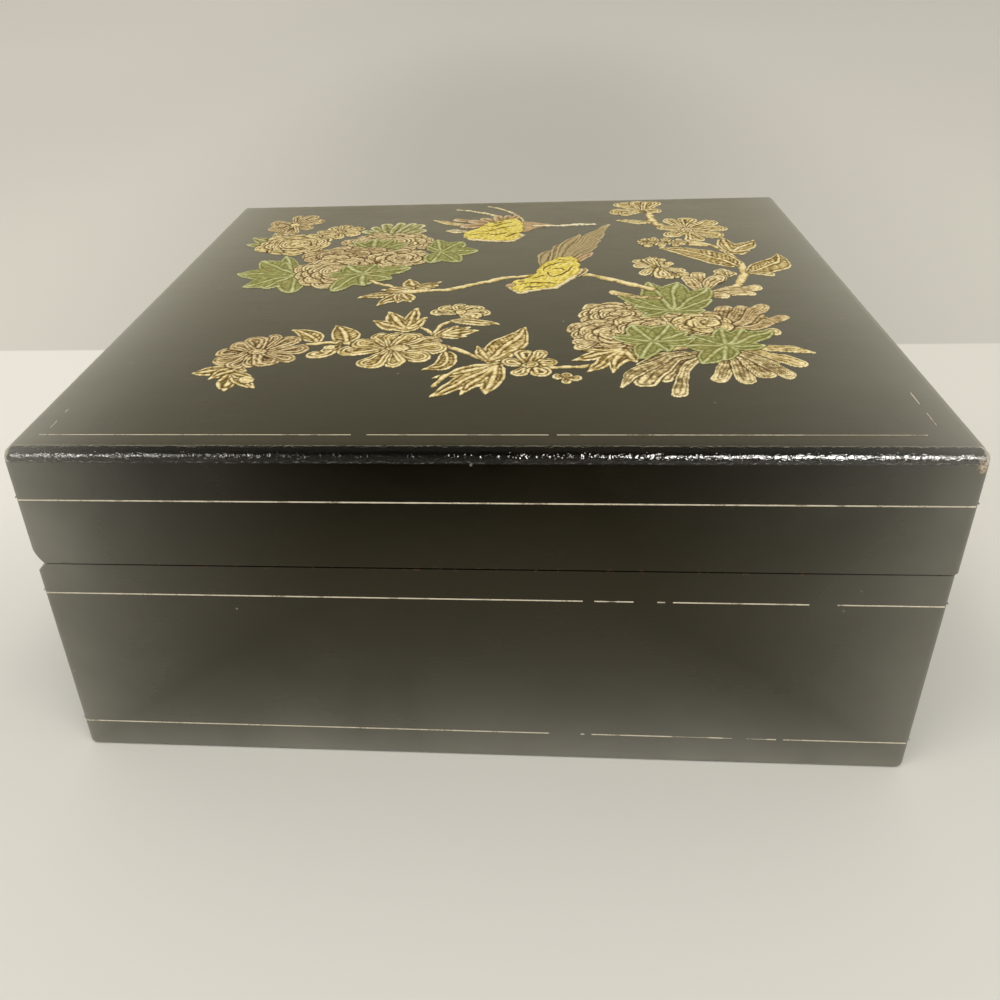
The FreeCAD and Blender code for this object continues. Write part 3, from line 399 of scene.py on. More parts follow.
def ring(low, high, inset, radius, steps=6, per_side=40):
    """Points round an upright box's plan, anticlockwise, with rounded corners."""
    left, right, front, back = low[0] + inset, high[0] - inset, low[1] + inset, high[1] - inset
    radius = min(radius, (right - left) / 2.2, (back - front) / 2.2)
    corners = ((right - radius, front + radius, -90), (right - radius, back - radius, 0),
               (left + radius, back - radius, 90), (left + radius, front + radius, 180))
    arcs = []
    for cx, cy, start in corners:
        turns = [math.radians(start + 90 * k / steps) for k in range(steps + 1)]
        arcs.append([Vector((cx + radius * math.cos(a), cy + radius * math.sin(a))) for a in turns])
    points = []
    for arc, after in zip(arcs, arcs[1:] + arcs[:1]):
        points += arc
        points += [arc[-1].lerp(after[0], k / per_side) for k in range(1, per_side)]
    return points


def ring_faces(count, total):
    """Faces between rings of count points each, with both ends capped."""
    faces = []
    for level in range(total - 1):
        for i in range(count):
            a, b = level * count + i, level * count + (i + 1) % count
            faces.append((a, b, b + count, a + count))
    faces.append(list(range((total - 1) * count, total * count)))
    faces.append(list(range(count - 1, -1, -1)))
    return faces


def top_panel(material):
    """The lid's top: the solid's outline, with a hand-rounded edge that isn't quite even."""
    turns, corner_steps, per_side = 14, 8, 230
    levels = [(0.0, PANEL_LOW_Z), (0.0, PANEL_LOW_Z + 1.0), (0.0, SURFACE_Z - TOP_ROUND)]
    for k in range(1, turns + 1):
        angle = math.pi / 2 * k / turns
        levels.append((TOP_ROUND * (1 - math.cos(angle)), SURFACE_Z - TOP_ROUND * (1 - math.sin(angle))))
    levels += [(TOP_ROUND + 1.5, SURFACE_Z), (TOP_ROUND + 4, SURFACE_Z)]
    vertices = []
    for inset, z in levels:
        fade = min(1.0, max(0.0, (z - PANEL_LOW_Z - 1.0) / 1.5)) if inset <= TOP_ROUND else 0.0
        radius = max(CORNER_RADIUS - inset, 0.02)
        for point in ring((LEFT_X, -HALF_Y), (RIGHT_X, HALF_Y), inset, radius, corner_steps, per_side):
            wave = noise.noise(Vector((point.x, point.y, z)) * 0.35) * 0.05
            wave += noise.noise(Vector((point.x, point.y, z)) * 1.3) * 0.025
            wave = min(wave, 0.0) * fade
            outward = point.normalized()
            vertices.append((point.x + outward.x * wave, point.y + outward.y * wave, z + wave))
    faces = ring_faces(len(vertices) // len(levels), len(levels))
    piece = finish_object("lid_top", vertices, faces, "lid", material)
    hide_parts("lid_top_panel")


def strip(start, end, width, height, out, breaks=()):
    """A thin raised painted line on a face whose outward direction is out.

    breaks are (start, end, share left) along the line, in millimetres.
    """
    step = 0.8
    start, end, out = Vector(start), Vector(end), Vector(out)
    run = end - start
    count = max(1, round(run.length / step))
    path = [start + run * (k / count) for k in range(count)] + [end]
    vertices, faces = [], []
    along = 0.0
    previous = None
    for i, point in enumerate(path):
        ahead = path[min(i + 1, len(path) - 1)] - path[max(i - 1, 0)]
        side = out.cross(ahead).normalized()
        if i:
            along += (point - path[i - 1]).length
        share = 1.0
        for low, high, left in breaks:
            if low < along < high:
                share = left
        if share < 0.05:
            previous = None
            continue
        half = width / 2 * (1 + 0.22 * noise.noise(point * 0.9)) * share
        lift = height * (0.7 + 0.3 * share)
        first = len(vertices)
        for across, rise in ((-1, -0.02), (-0.55, lift), (0.55, lift), (1, -0.02)):
            vertices.append(tuple(point + side * half * across + out * rise))
        if previous is not None:
            faces += [(previous + k, previous + k + 1, first + k + 1, first + k) for k in range(3)]
        previous = first
    return vertices, faces


def line_piece(name, body, material, strips):
    """One mesh of several painted lines."""
    vertices, faces = [], []
    for more, cells in strips:
        first = len(vertices)
        vertices += more
        faces += [tuple(first + i for i in cell) for cell in cells]
    piece = finish_object(name, vertices, faces, body, material, smooth=False)


LID_LINE_Z = 69.0
UPPER_LINE_Z = 45.4
LOWER_LINE_Z = 7.7
LINE_WIDTH = 0.38
LINE_HEIGHT = 0.03
BORDER_INSET = 6.8


def wall_line(z, right, front_breaks):
    """A line round the four upright faces at one height. It stops short of each corner."""
    short = 1.0
    near_y, far_y = -HALF_Y, HALF_Y
    runs = (((LEFT_X + short, near_y), (right - short, near_y), (0, -1, 0), front_breaks),
            ((right, near_y + short), (right, far_y - short), (1, 0, 0),
             ((44, 47, 0.0), (120, 126, 0.4), (150, 153, 0.0))),
            ((right - short, far_y), (LEFT_X + short, far_y), (0, 1, 0),
             ((20, 24, 0.0), (84, 90, 0.4), (131, 133, 0.0))),
            ((LEFT_X, far_y - short), (LEFT_X, near_y + short), (-1, 0, 0), ((60, 66, 0.4), (101, 103, 0.0))))
    return [strip((*a, z), (*b, z), LINE_WIDTH, LINE_HEIGHT, out, breaks) for a, b, out, breaks in runs]


def gold_lines():
    material = gold_line()
    line_piece("gold_line_lid", "lid", material, wall_line(LID_LINE_Z, RIGHT_X, ((163, 165, 0.5),)))
    upper_breaks = ((116, 118, 0.0), (121, 123, 0.3), (127, 131, 0.0), (133, 134, 0.0), (162, 164, 0.0),
                    (165.5, 167, 0.0), (60, 61, 0.4))
    line_piece("gold_line_case_upper", "case", material, wall_line(UPPER_LINE_Z, -LEFT_X, upper_breaks))
    lower_breaks = ((110, 116, 0.0), (118, 119, 0.0), (137, 145, 0.3), (148, 158, 0.35), (151, 153, 0.0),
                    (160, 161, 0.0))
    line_piece("gold_line_case_lower", "case", material, wall_line(LOWER_LINE_Z, -LEFT_X, lower_breaks))
    left, right, front = LEFT_X + 5.6, RIGHT_X - BORDER_INSET - 3, -HALF_Y + BORDER_INSET
    runs = (((left, front), (right, front), 0.36, 0.025,
             ((65, 67.4, 0.0), (104, 104.9, 0.0), (152, 175, 0.55))),
            ((right + 3, front + 4), (right + 3, front + 19), 0.26, 0.02, ((6, 9, 0.0),)),
            ((left + 1, front + 3), (left + 1, front + 12), 0.22, 0.02, ((4, 7, 0.0),)))
    strips = [strip((*a, SURFACE_Z), (*b, SURFACE_Z), width, height, (0, 0, 1), breaks)
              for a, b, width, height, breaks in runs]
    line_piece("gold_line_top", "lid", material, strips)


# The lid's relief: two birds among flowers and leaves, drawn as heights on a fine grid.
# Places here are millimetres from the box's front left corner, seen from above.
class Relief:
    """Heights above the lid and a colour for each point of a grid, drawn element by element."""

    STEP = 0.28
    UNDER = -0.10
    # An element's border starts a little outside its edge and rises over its width
    SKIRT = 0.16
    BORDER = 0.42
    # Over another element it rises within its own edge
    OVERLAP = 0.3
    # Carving turns from the groove's colour, darkened partly as painted shade, to the element's own, and then
    # to the crest's, paled partly as painted highlight
    GROOVE_END, OWN_RISE = 0.06, 0.54
    CREST_START, CREST_RISE = 0.60, 0.36
    # Wavelengths and depths of the hand's waver
    WAVER = ((3.1, 0.025), (4.7, 0.07), (6.9, 0.16), (11.3, 0.34))

    def __init__(self, low, high):
        self.x = np.arange(low[0], high[0], self.STEP)
        self.y = np.arange(low[1], high[1], self.STEP)
        shape = (len(self.y), len(self.x))
        self.height = np.full(shape, self.UNDER)
        self.colour = np.zeros(shape + (3,))
        self.ridge = np.zeros(shape)
        # A gentle waver of the hand: every element is drawn on slightly bent ground
        gx, gy = np.meshgrid(self.x, self.y)
        draw = random.Random(SEED)
        self.bent = []
        for ground in (gx, gy):
            bend = np.zeros(shape)
            for wave, size in self.WAVER:
                angle, phase = draw.uniform(0, math.tau), draw.uniform(0, math.tau)
                bend += size * np.sin((gx * math.cos(angle) + gy * math.sin(angle)) * math.tau / wave + phase)
            self.bent.append(ground + bend)
        self.fine = self.wrinkles(1.5, 3) * 0.5 + self.wrinkles(0.8, 4) * 0.5

    def wrinkles(self, size, seed):
        """Sharp-crested waves some size millimetres apart, 0 in their hollows and 1 on their crests."""
        rows, columns = (np.arange(len(line)) * self.STEP / size for line in (self.y, self.x))
        i, j = rows.astype(int), columns.astype(int)
        lattice = np.random.default_rng(seed).random((i[-1] + 2, j[-1] + 2))
        u, v = (rows - i)[:, None], (columns - j)[None, :]
        u, v = u * u * (3 - 2 * u), v * v * (3 - 2 * v)
        low = lattice[np.ix_(i, j)] * (1 - v) + lattice[np.ix_(i, j + 1)] * v
        high = lattice[np.ix_(i + 1, j)] * (1 - v) + lattice[np.ix_(i + 1, j + 1)] * v
        return 1 - np.abs(low * (1 - u) + high * u - 0.5) * 3.2

    def window(self, points, margin):
        xs, ys = zip(*points)
        margin += 0.8
        columns = slice(*np.searchsorted(self.x, (min(xs) - margin, max(xs) + margin)))
        rows = slice(*np.searchsorted(self.y, (min(ys) - margin, max(ys) + margin)))
        return (rows, columns), self.bent[0][rows, columns], self.bent[1][rows, columns]

    def lay(self, place, edge, level, carve, tint, outline=0.45):
        """Lay an element over what is there. edge is how far inside it a point is; carve is 0 in a cut,
        1 on a crest."""
        carve = np.clip(carve + ROUGHENED.get(tint, ROUGH) * (self.fine[place] - 0.5), 0, 1)
        inside = edge > 0
        top = level + RELIEF_RISE * carve
        border = np.clip((edge + self.SKIRT) / self.BORDER, 0, 1)
        old = self.height[place]
        bare = old <= 0
        rising = self.UNDER + (top - self.UNDER) * border
        stepped = old + (top - old) * np.clip(edge / self.OVERLAP, 0, 1)
        self.height[place] = np.where(inside, np.where(bare, rising, stepped),
                                      np.where(bare & (edge > -0.4), np.maximum(old, rising), old))
        # Colour from the carving: darker in cuts, the paint's own tone with painted shade, and paler on
        # crests, with painted highlight
        dark = np.array(tint) * GROOVE_TINTS_AND_SHADE.get(tint, GROOVE_TINT_AND_SHADE)
        pale = np.array(CREST_TINTS_AND_HIGHLIGHTS.get(tint, CREST_TINT_AND_HIGHLIGHT))
        low_share = np.clip((carve - self.GROOVE_END) / self.OWN_RISE, 0, 1)[..., None]
        high_share = np.clip((carve - self.CREST_START) / self.CREST_RISE, 0, 1)[..., None]
        colour = dark + (np.array(tint) - dark) * low_share
        colour = colour + (pale - colour) * high_share
        # Points just outside are darkened with painted shade along the element's edge, on bare lacquer and on
        # elements below, so that its outline stays clean
        beside = (edge > -outline) & ~inside
        painted_edge_shade = np.minimum(self.colour[place] * 0.5, dark * 1.5)
        painted_edge_shade = np.where(bare[..., None], dark * 0.4, painted_edge_shade)
        self.colour[place] = np.where(inside[..., None], colour, np.where(beside[..., None], painted_edge_shade,
                                                                          self.colour[place]))
        self.ridge[place] = np.where(inside, carve, np.where(beside, 0.0, self.ridge[place]))


RELIEF_RISE = 0.17
# Groove colours are the paint's darker tones together with painted shade; crest colours are its paler tones
# together with painted highlight
GROOVE_TINT_AND_SHADE = (0.17, 0.135, 0.08)
CREST_TINT_AND_HIGHLIGHT = (0.95, 0.81, 0.44)
GOLD = (0.56, 0.40, 0.12)
PALE_GOLD = (0.68, 0.52, 0.20)
ROSE_GOLD = (0.46, 0.315, 0.125)
BEIGE = (0.60, 0.44, 0.20)
GREEN = (0.36, 0.36, 0.10)
OLIVE = (0.38, 0.37, 0.13)
YELLOW = (0.80, 0.64, 0.075)
BRONZE = (0.45, 0.345, 0.165)
FAN_GOLD = (0.40, 0.295, 0.115)
CREAM = (0.74, 0.63, 0.38)
TAN = (0.50, 0.33, 0.16)
CREST_TINTS_AND_HIGHLIGHTS = {GREEN: (0.56, 0.58, 0.27), OLIVE: (0.66, 0.62, 0.34), YELLOW: (0.95, 0.83, 0.28),
          BRONZE: (0.55, 0.44, 0.24), ROSE_GOLD: (0.78, 0.63, 0.34), TAN: (0.66, 0.50, 0.30)}
GROOVE_TINTS_AND_SHADE = {GREEN: (0.42, 0.42, 0.32), OLIVE: (0.40, 0.38, 0.28), YELLOW: (0.42, 0.34, 0.25),
           BRONZE: (0.36, 0.30, 0.19), TAN: (0.40, 0.34, 0.25)}
ROUGH = 0.62
ROUGHENED = {GREEN: 0.45, OLIVE: 0.45, YELLOW: 0.5, BRONZE: 0.3, TAN: 0.3}


def hump(value, middle, reach):
    """1 at a middle value, falling to 0 at reach on either side."""
    return np.clip(1 - ((value - middle) / reach) ** 2, 0, 1)


def along(line, x, y):
    """For each point, its share of the way along a line and its distance from it, positive to the left."""
    line = np.array(line, dtype=float)
    runs = np.diff(line, axis=0)
    lengths = np.hypot(runs[:, 0], runs[:, 1])
    starts = np.concatenate([[0.0], np.cumsum(lengths)[:-1]])
    nearest = np.full(x.shape, 1e9)
    share = np.zeros(x.shape)
    side = np.zeros(x.shape)
    for (ax, ay), (dx, dy), length, start in zip(line, runs, lengths, starts):
        u = np.clip(((x - ax) * dx + (y - ay) * dy) / length ** 2, 0, 1)
        px, py = x - ax - u * dx, y - ay - u * dy
        distance = np.hypot(px, py)
        closer = distance < nearest
        nearest = np.where(closer, distance, nearest)
        share = np.where(closer, (start + u * length) / lengths.sum(), share)
        side = np.where(closer, np.where(dx * py - dy * px >= 0, distance, -distance), side)
    return share, side, lengths.sum()


def bow(base, tip, bend=0.0, count=10):
    """A curve from base to tip whose middle stands off to the left by a share of its length."""
    base, tip = np.array(base, dtype=float), np.array(tip, dtype=float)
    run = tip - base
    left = np.array((-run[1], run[0])) * bend
    shares = np.linspace(0, 1, count)
    return [tuple(base + run * u + left * 4 * u * (1 - u)) for u in shares]


def smooth_line(points, rounds=3):
    """Corners cut in turn, so that a stem bends smoothly."""
    points = [np.array(p, dtype=float) for p in points]
    for _ in range(rounds):
        cut = [points[0]]
        for a, b in zip(points, points[1:]):
            cut += [a * 0.75 + b * 0.25, a * 0.25 + b * 0.75]
        points = cut + [points[-1]]
    return [tuple(p) for p in points]


def leaf_width(share, width):
    return width / 2 * np.sin(np.pi * np.clip(share, 0, 1) ** 0.72) ** 0.85


def blunt_width(share, width):
    """A lobe that is widest well out and closes in a short point."""
    return width / 2 * 1.1 * np.sin(np.pi * np.clip(share, 0, 1) ** 0.95) ** 0.7


def inside_of(outline, x, y):
    """How far inside a closed outline each point lies, negative outside it."""
    far = np.full(x.shape, 1e9)
    odd = np.zeros(x.shape, dtype=bool)
    for (ax, ay), (bx, by) in zip(outline, outline[1:] + outline[:1]):
        dx, dy = bx - ax, by - ay
        u = np.clip(((x - ax) * dx + (y - ay) * dy) / (dx * dx + dy * dy), 0, 1)
        far = np.minimum(far, np.hypot(x - ax - u * dx, y - ay - u * dy))
        odd ^= ((ay > y) != (by > y)) & (x < dx * (y - ay) / (dy or 1e-9) + ax)
    return np.where(odd, far, -far)


def leaf(relief, base, tip, width, tint, level, bend=0.0, veins=4):
    """A pointed leaf: a bright rim, a raised midrib and slanting side veins."""
    line = bow(base, tip, bend)
    place, x, y = relief.window(line, width)
    share, side, length = along(line, x, y)
    edge = leaf_width(share, width) - np.abs(side)
    carve = 0.72 + 0.28 * hump(edge, 0.24, 0.36) - 0.6 * hump(edge, 0.9, 0.3)
    carve += 0.3 * hump(side, 0, 0.34) - 0.55 * hump(np.abs(side), 0.62, 0.3)
    if veins:
        slant = share * length - np.abs(side) * 1.1
        wave = np.abs(((slant / 1.5) % 1) - 0.5) * 2
        carve -= 0.6 * hump(wave, 0, 0.5) * (edge > 0.9) * (np.abs(side) > 0.7)
    relief.lay(place, edge, level, carve, tint)


def petal(relief, base, tip, width, tint, level, bend=0.0, scallop=False):
    """A round-ended petal: bright rim, a cut line inside it and an inner loop."""
    line = bow(base, tip, bend)
    radius = width / 2
    length = math.dist(base, tip)
    line = [p for p in line if math.dist(p, line[-1]) > radius * 0.8] or line[:2]
    if len(line) < 2:
        line = [base, tuple((np.array(base) + np.array(tip)) / 2)]
    place, x, y = relief.window([base, tip], width)
    share, side, _ = along(line, x, y)
    edge = radius * (0.22 + 0.78 * np.clip(share, 0, 1) ** 0.8) - np.abs(side)
    carve = 0.70 + 0.28 * hump(edge, 0.22, 0.34) - 0.6 * hump(edge, 0.8, 0.28)
    if width > 2.6:
        carve += 0.5 * hump(edge, 1.36, 0.34) - 0.7 * hump(edge, 1.86, 0.26)
    if width > 2.2:
        carve -= 0.6 * hump(side, 0, 0.28) * (share > 0.12) * (edge > 0.5)
    carve -= 0.45 * np.clip(1 - share * length / 3.0, 0, 1)
    streaks = 0.32 * np.cos(side / 0.5 * math.pi + 2.2 * np.sin(share * 4 + width)) * (edge > 0.5)
    if scallop:
        rays = np.abs(((side / 0.95 + 0.5) % 1) - 0.5) * 2
        carve = 0.62 + 0.4 * hump(edge, 0.3, 0.42) - 0.85 * hump(edge, -0.05, 0.32)
        carve -= 0.5 * hump(rays, 1.0, 0.42) * (edge > 0.75) * (share < 0.8)
    relief.lay(place, edge, level, carve + streaks, tint)


def finger(relief, base, tip, width, tint, level, bend=0.0, lines=3, point=0.0):
    """A long narrow petal or feather with fine lines along it."""
    line = bow(base, tip, bend)
    radius = width / 2
    place, x, y = relief.window(line, width)
    share, side, length = along(line, x, y)
    reach = radius * (0.35 + 0.65 * np.clip(share * 1.6, 0, 1))
    if point:
        reach = reach * np.clip((1 - share) / point, 0.12, 1) ** 0.6
    edge = reach - np.abs(side)
    carve = 0.70 + 0.3 * hump(edge, 0.22, 0.36) + 0.2 * hump(share, 1.0, 0.12)
    wave = np.cos(side / np.maximum(reach, 0.3) * math.pi * lines)
    carve -= 0.58 * np.clip(wave * (-1) ** lines * -1, 0, 1) ** 1.9 * (edge > 0.3)
    carve -= 0.25 * np.clip(1 - share * length / 5.0, 0, 1)
    relief.lay(place, edge, level, carve, tint)


def stem(relief, points, width=1.3, tint=PALE_GOLD, level=0.05):
    line = smooth_line(points)
    place, x, y = relief.window(line, width)
    share, side, _ = along(line, x, y)
    edge = width / 2 * (1 - 0.15 * np.sin(share * 23.0)) - np.abs(side)
    carve = 0.35 + 0.6 * np.clip(edge / (width * 0.35), 0, 1)
    relief.lay(place, edge, level, carve, tint, outline=0.3)


def knob(relief, centre, radius, tint, level):
    place, x, y = relief.window([centre], radius * 1.6)
    far = np.hypot(x - centre[0], y - centre[1])
    edge = radius - far
    carve = 0.9 - 0.5 * hump(far, radius * 0.55, 0.25)
    relief.lay(place, edge, level, carve, tint)


def lobed(relief, base, lobes, tint, level):
    """A leaf of several lobes from one point. Each lobe is (x, y, width) at its tip. Green ones are blunt."""
    shape = blunt_width if tint == GREEN else leaf_width
    places = [base] + [lobe[:2] for lobe in lobes]
    place, x, y = relief.window(places, max(lobe[2] for lobe in lobes))
    edge = np.full(x.shape, -9.0)
    share, side, length = np.zeros(x.shape), np.zeros(x.shape), np.ones(x.shape)
    for *tip, width in lobes:
        along_share, across, reach = along(bow(base, tip), x, y)
        inside = shape(along_share, width) - np.abs(across)
        better = inside > edge
        edge = np.where(better, inside, edge)
        share = np.where(better, along_share, share)
        side = np.where(better, across, side)
        length = np.where(better, reach, length)
    centre = np.hypot(x - base[0], y - base[1])
    edge = np.maximum(edge, 1.4 - centre)
    fleshy = tint in (GREEN, OLIVE)
    soft, full, vein_step = (0.7, 0.56, 2.2) if fleshy else (0.9, 0.74, 1.6)
    carve = full + (1.0 - full) * soft * hump(edge, 0.27, 0.4) - 0.7 * soft * hump(edge, 0.95, 0.3)
    carve += (0.96 - full) * hump(side, 0, 0.42) - 0.62 * soft * hump(np.abs(side), 0.75, 0.32)
    carve += 0.5 * np.clip((share - 0.78) / 0.2, 0, 1) * fleshy
    slant = share * length - np.abs(side) * 1.2
    wave = np.abs(((slant / vein_step) % 1) - 0.5) * 2
    carve -= 0.55 * soft * hump(wave, 0, 0.36) * (edge > 0.9) * (np.abs(side) > 0.8)
    relief.lay(place, edge, level, carve, tint)


def fan(draw, relief, base, tips, *more, **other):
    """Petals, leaves or fingers from one point. Each tip is (x, y, width)."""
    for *tip, width in tips:
        draw(relief, base, tuple(tip), width, *more, **other)


def daisy(relief, centre, tips, width, tint, level, boss=1.7):
    for i, tip in enumerate(tips):
        petal(relief, centre, tip, width * (1 + 0.08 * math.sin(i * 2.1)), tint, level + 0.012 * (i % 3))
    knob(relief, centre, boss, tint, level + 0.06)


def peony(relief, centre, radii, tint, turn, counts, level):
    """Rings of round, rimmed petals, each ring lying on the one outside it."""
    rx, ry = radii
    for ring, count in enumerate(counts):
        far = 1 - ring / len(counts) * 0.82
        start = max(0.0, far - 0.5)
        for k in range(count):
            angle = turn + ring * 0.6 + 2 * math.pi * k / count
            reach = far * (1 + 0.07 * math.sin(k * 2.7 + ring))
            tip = (centre[0] + rx * reach * math.cos(angle), centre[1] + ry * reach * math.sin(angle))
            base = (centre[0] + rx * start * math.cos(angle), centre[1] + ry * start * math.sin(angle))
            width = 2 * math.pi * far * (rx + ry) / 2 / count * 1.18
            lift = level + 0.022 * ring + 0.006 * (k % 2)
            petal(relief, base, tip, width, tint, lift, scallop=(k + ring) % 4 != 0)
    knob(relief, centre, min(rx, ry) * 0.13, tint, level + 0.1)


def spray(relief, line, reach, size, tint, level, count):
    """Buds crowded along a stem."""
    points = smooth_line(line)
    for k in range(count):
        u = (k + 0.5) / count
        place = np.array(points[min(len(points) - 1, int(u * len(points)))])
        sign = -1 if k % 2 else 1
        ahead = np.array(points[-1]) - np.array(points[0])
        across = np.array((-ahead[1], ahead[0])) / np.hypot(*ahead)
        tip = place + across * sign * reach * math.sin(math.pi * (0.15 + 0.75 * u)) + ahead * 0.04
        petal(relief, tuple(place), tuple(tip), size, tint, level + 0.01 * (k % 3))
        knob(relief, tuple(tip), size * 0.3, tint, level + 0.05)


def cut(relief, line, width, tint, level):
    """A dark engraved stroke."""
    line = smooth_line(line, 2)
    place, x, y = relief.window(line, width)
    share, side, _ = along(line, x, y)
    edge = width / 2 * (1 - 0.6 * np.abs(share * 2 - 1) ** 3) - np.abs(side)
    relief.lay(place, edge, level, np.full(x.shape, -1.0), tint, outline=0.0)


def down(relief, outline, stroke, tint, level, spacing=1.2, ragged=0.3):
    """A patch of fine feathers whose strokes lie along one direction."""
    outline = smooth_line(outline + outline[:1], 2)[:-1]
    place, x, y = relief.window(outline, 1)
    across = y * stroke[0] - x * stroke[1]
    ahead = x * stroke[0] + y * stroke[1]
    phase = across / spacing + 0.30 * np.sin(ahead * 0.8) + 0.16 * np.sin(ahead * 2.1 + across * 1.3)
    edge = inside_of(outline, x, y) + ragged * np.sin(phase * math.pi)
    broken = np.sin(ahead * 1.5 + 2.6 * np.sin(across * 0.9))
    carve = 0.66 + 0.34 * np.cos(phase * math.tau) * (0.55 + 0.45 * broken)
    relief.lay(place, edge, level, carve, tint)


def lower_left_garland(r):
    stem(r, [(50.6, 53.3), (55.6, 56.3), (60, 55.8), (64, 54)], 1.5)
    stem(r, [(74.4, 62.8), (79, 66.5), (83.3, 58.5), (84, 54)], 1.2)
    stem(r, [(83.3, 58), (82.4, 64), (85, 69.4), (91, 73.6)], 1.2)
    stem(r, [(85.6, 53.3), (90, 49.5), (95, 43.9), (98.3, 41.9), (104, 41.4)], 1.7)
    for tip, base, width in (((28.3, 37.5), (37.4, 39.6), 5.2), ((33.3, 33.9), (38, 40), 4.4),
            ((38.4, 27.6), (37.4, 36.4), 4.2), ((45.5, 29), (38, 35.4), 4.8), ((44, 34.4), (37.6, 37), 4.2),
            ((41.3, 39), (36.4, 41), 3.6)):
        leaf(r, base, tip, width, GOLD, 0.04)
    knob(r, (42.2, 33.4), 2, PALE_GOLD, 0.06)
    leaf(r, (53.4, 55.8), (45.9, 64.6), 5.6, GOLD, 0.03, bend=-0.12, veins=3)
    leaf(r, (61.3, 55.4), (57, 67.1), 6.8, GOLD, 0.03, bend=-0.06, veins=3)
    tips = [(30.6, 49.8), (31.7, 43.3), (36.2, 40.2), (41.3, 40.8), (45.9, 41.2), (50.6, 44.9), (53, 51.6),
            (48.9, 58.8), (42.9, 61.2), (37.7, 59.4), (32.6, 55.3)]
    daisy(r, (40.6, 49.6), tips, 5.3, ROSE_GOLD, 0.05)
    petal(r, (60.2, 54.4), (53, 47.2), 4.6, GOLD, 0.07, bend=0.18)
    petal(r, (59.4, 53.8), (57.2, 48.6), 3.2, PALE_GOLD, 0.1, bend=-0.2)
    knob(r, (57.3, 52.4), 1.7, PALE_GOLD, 0.12)
    leaf(r, (85.8, 49.2), (81.2, 38.4), 5.6, GOLD, 0.04, bend=0.26)
    tips = [(60.6, 50.2), (62.6, 56.4), (68.2, 61), (73.4, 61.8), (78.8, 61.2), (84.2, 57.6), (86.2, 51.4),
            (82.4, 44), (75, 40.8), (67.6, 40.6)]
    daisy(r, (73, 51.2), tips, 6.2, GOLD, 0.06, boss=1.3)
    knob(r, (74.9, 51.6), 1.9, PALE_GOLD, 0.13)
    knob(r, (83.6, 56), 1.3, BRONZE, 0.1)
    lobed(r, (74.4, 63.4), ((68.8, 77.2, 5.2), (76.6, 79.6, 5), (65.6, 70.2, 5), (79.6, 72.2, 4.6),
            (79.2, 67.8, 3.6), (71.4, 64.6, 3)), GOLD, 0.05)
    fan(petal, r, (87.4, 75.4), ((79.4, 76.4, 4.8), (82, 80.4, 4.8), (87.6, 81.2, 4.8), (93, 79.6, 4.8),
            (95.8, 74.8, 4.8), (92.4, 71.2, 4.8)), PALE_GOLD, 0.06)
    knob(r, (88, 75.8), 1.5, GOLD, 0.12)
    leaf(r, (85.2, 69.6), (98.2, 66.6), 4.2, PALE_GOLD, 0.05, bend=0.05, veins=5)
    lobed(r, (83.8, 60), ((93.6, 62.8, 4.4), (87.4, 65.6, 3.6), (91.4, 65.4, 3.2), (90, 58.8, 3.4)), GOLD,
            0.05)


def lower_middle_sprigs(r):
    lobed(r, (96.4, 43.6), ((105.2, 64.6, 8.6), (92.8, 53.2, 4.4), (104.4, 52.2, 5)), GOLD, 0.05)
    lobed(r, (98.4, 41.4), ((84.6, 24.2, 6.4), (83.9, 33.9, 4.4), (90.4, 24.8, 5.6), (96.4, 25.4, 5.4),
            (96.8, 32.4, 5)), GOLD, 0.05)
    stem(r, [(98, 41.6), (91, 40.2), (86.8, 36), (85, 30)], 1.2, PALE_GOLD, 0.1)
    stem(r, [(107.4, 39.4), (115.6, 39.4), (121, 42.4)], 1.5)
    fan(petal, r, (105.8, 41), ((99.6, 44, 4.4), (104.2, 49.2, 4.4), (108.9, 50, 4.4), (112.4, 43.4, 4.4),
            (109.2, 35.6, 4.4), (102.6, 34.9, 4.4)), GOLD, 0.05)
    knob(r, (105.8, 41.2), 1.4, PALE_GOLD, 0.12)
    fan(petal, r, (113.8, 34.2), ((110.6, 34.8, 2.7), (113.6, 31.2, 2.7), (117.2, 33.2, 2.7),
            (114.2, 36.2, 2.7)), PALE_GOLD, 0.06)
    lobed(r, (127.4, 49.6), ((115.2, 43.6, 4.8), (118.4, 37, 5), (123.8, 36.8, 4.8), (129.4, 42.2, 4.6),
            (116.6, 49.4, 4.2), (121.4, 52.4, 4)), GOLD, 0.07)


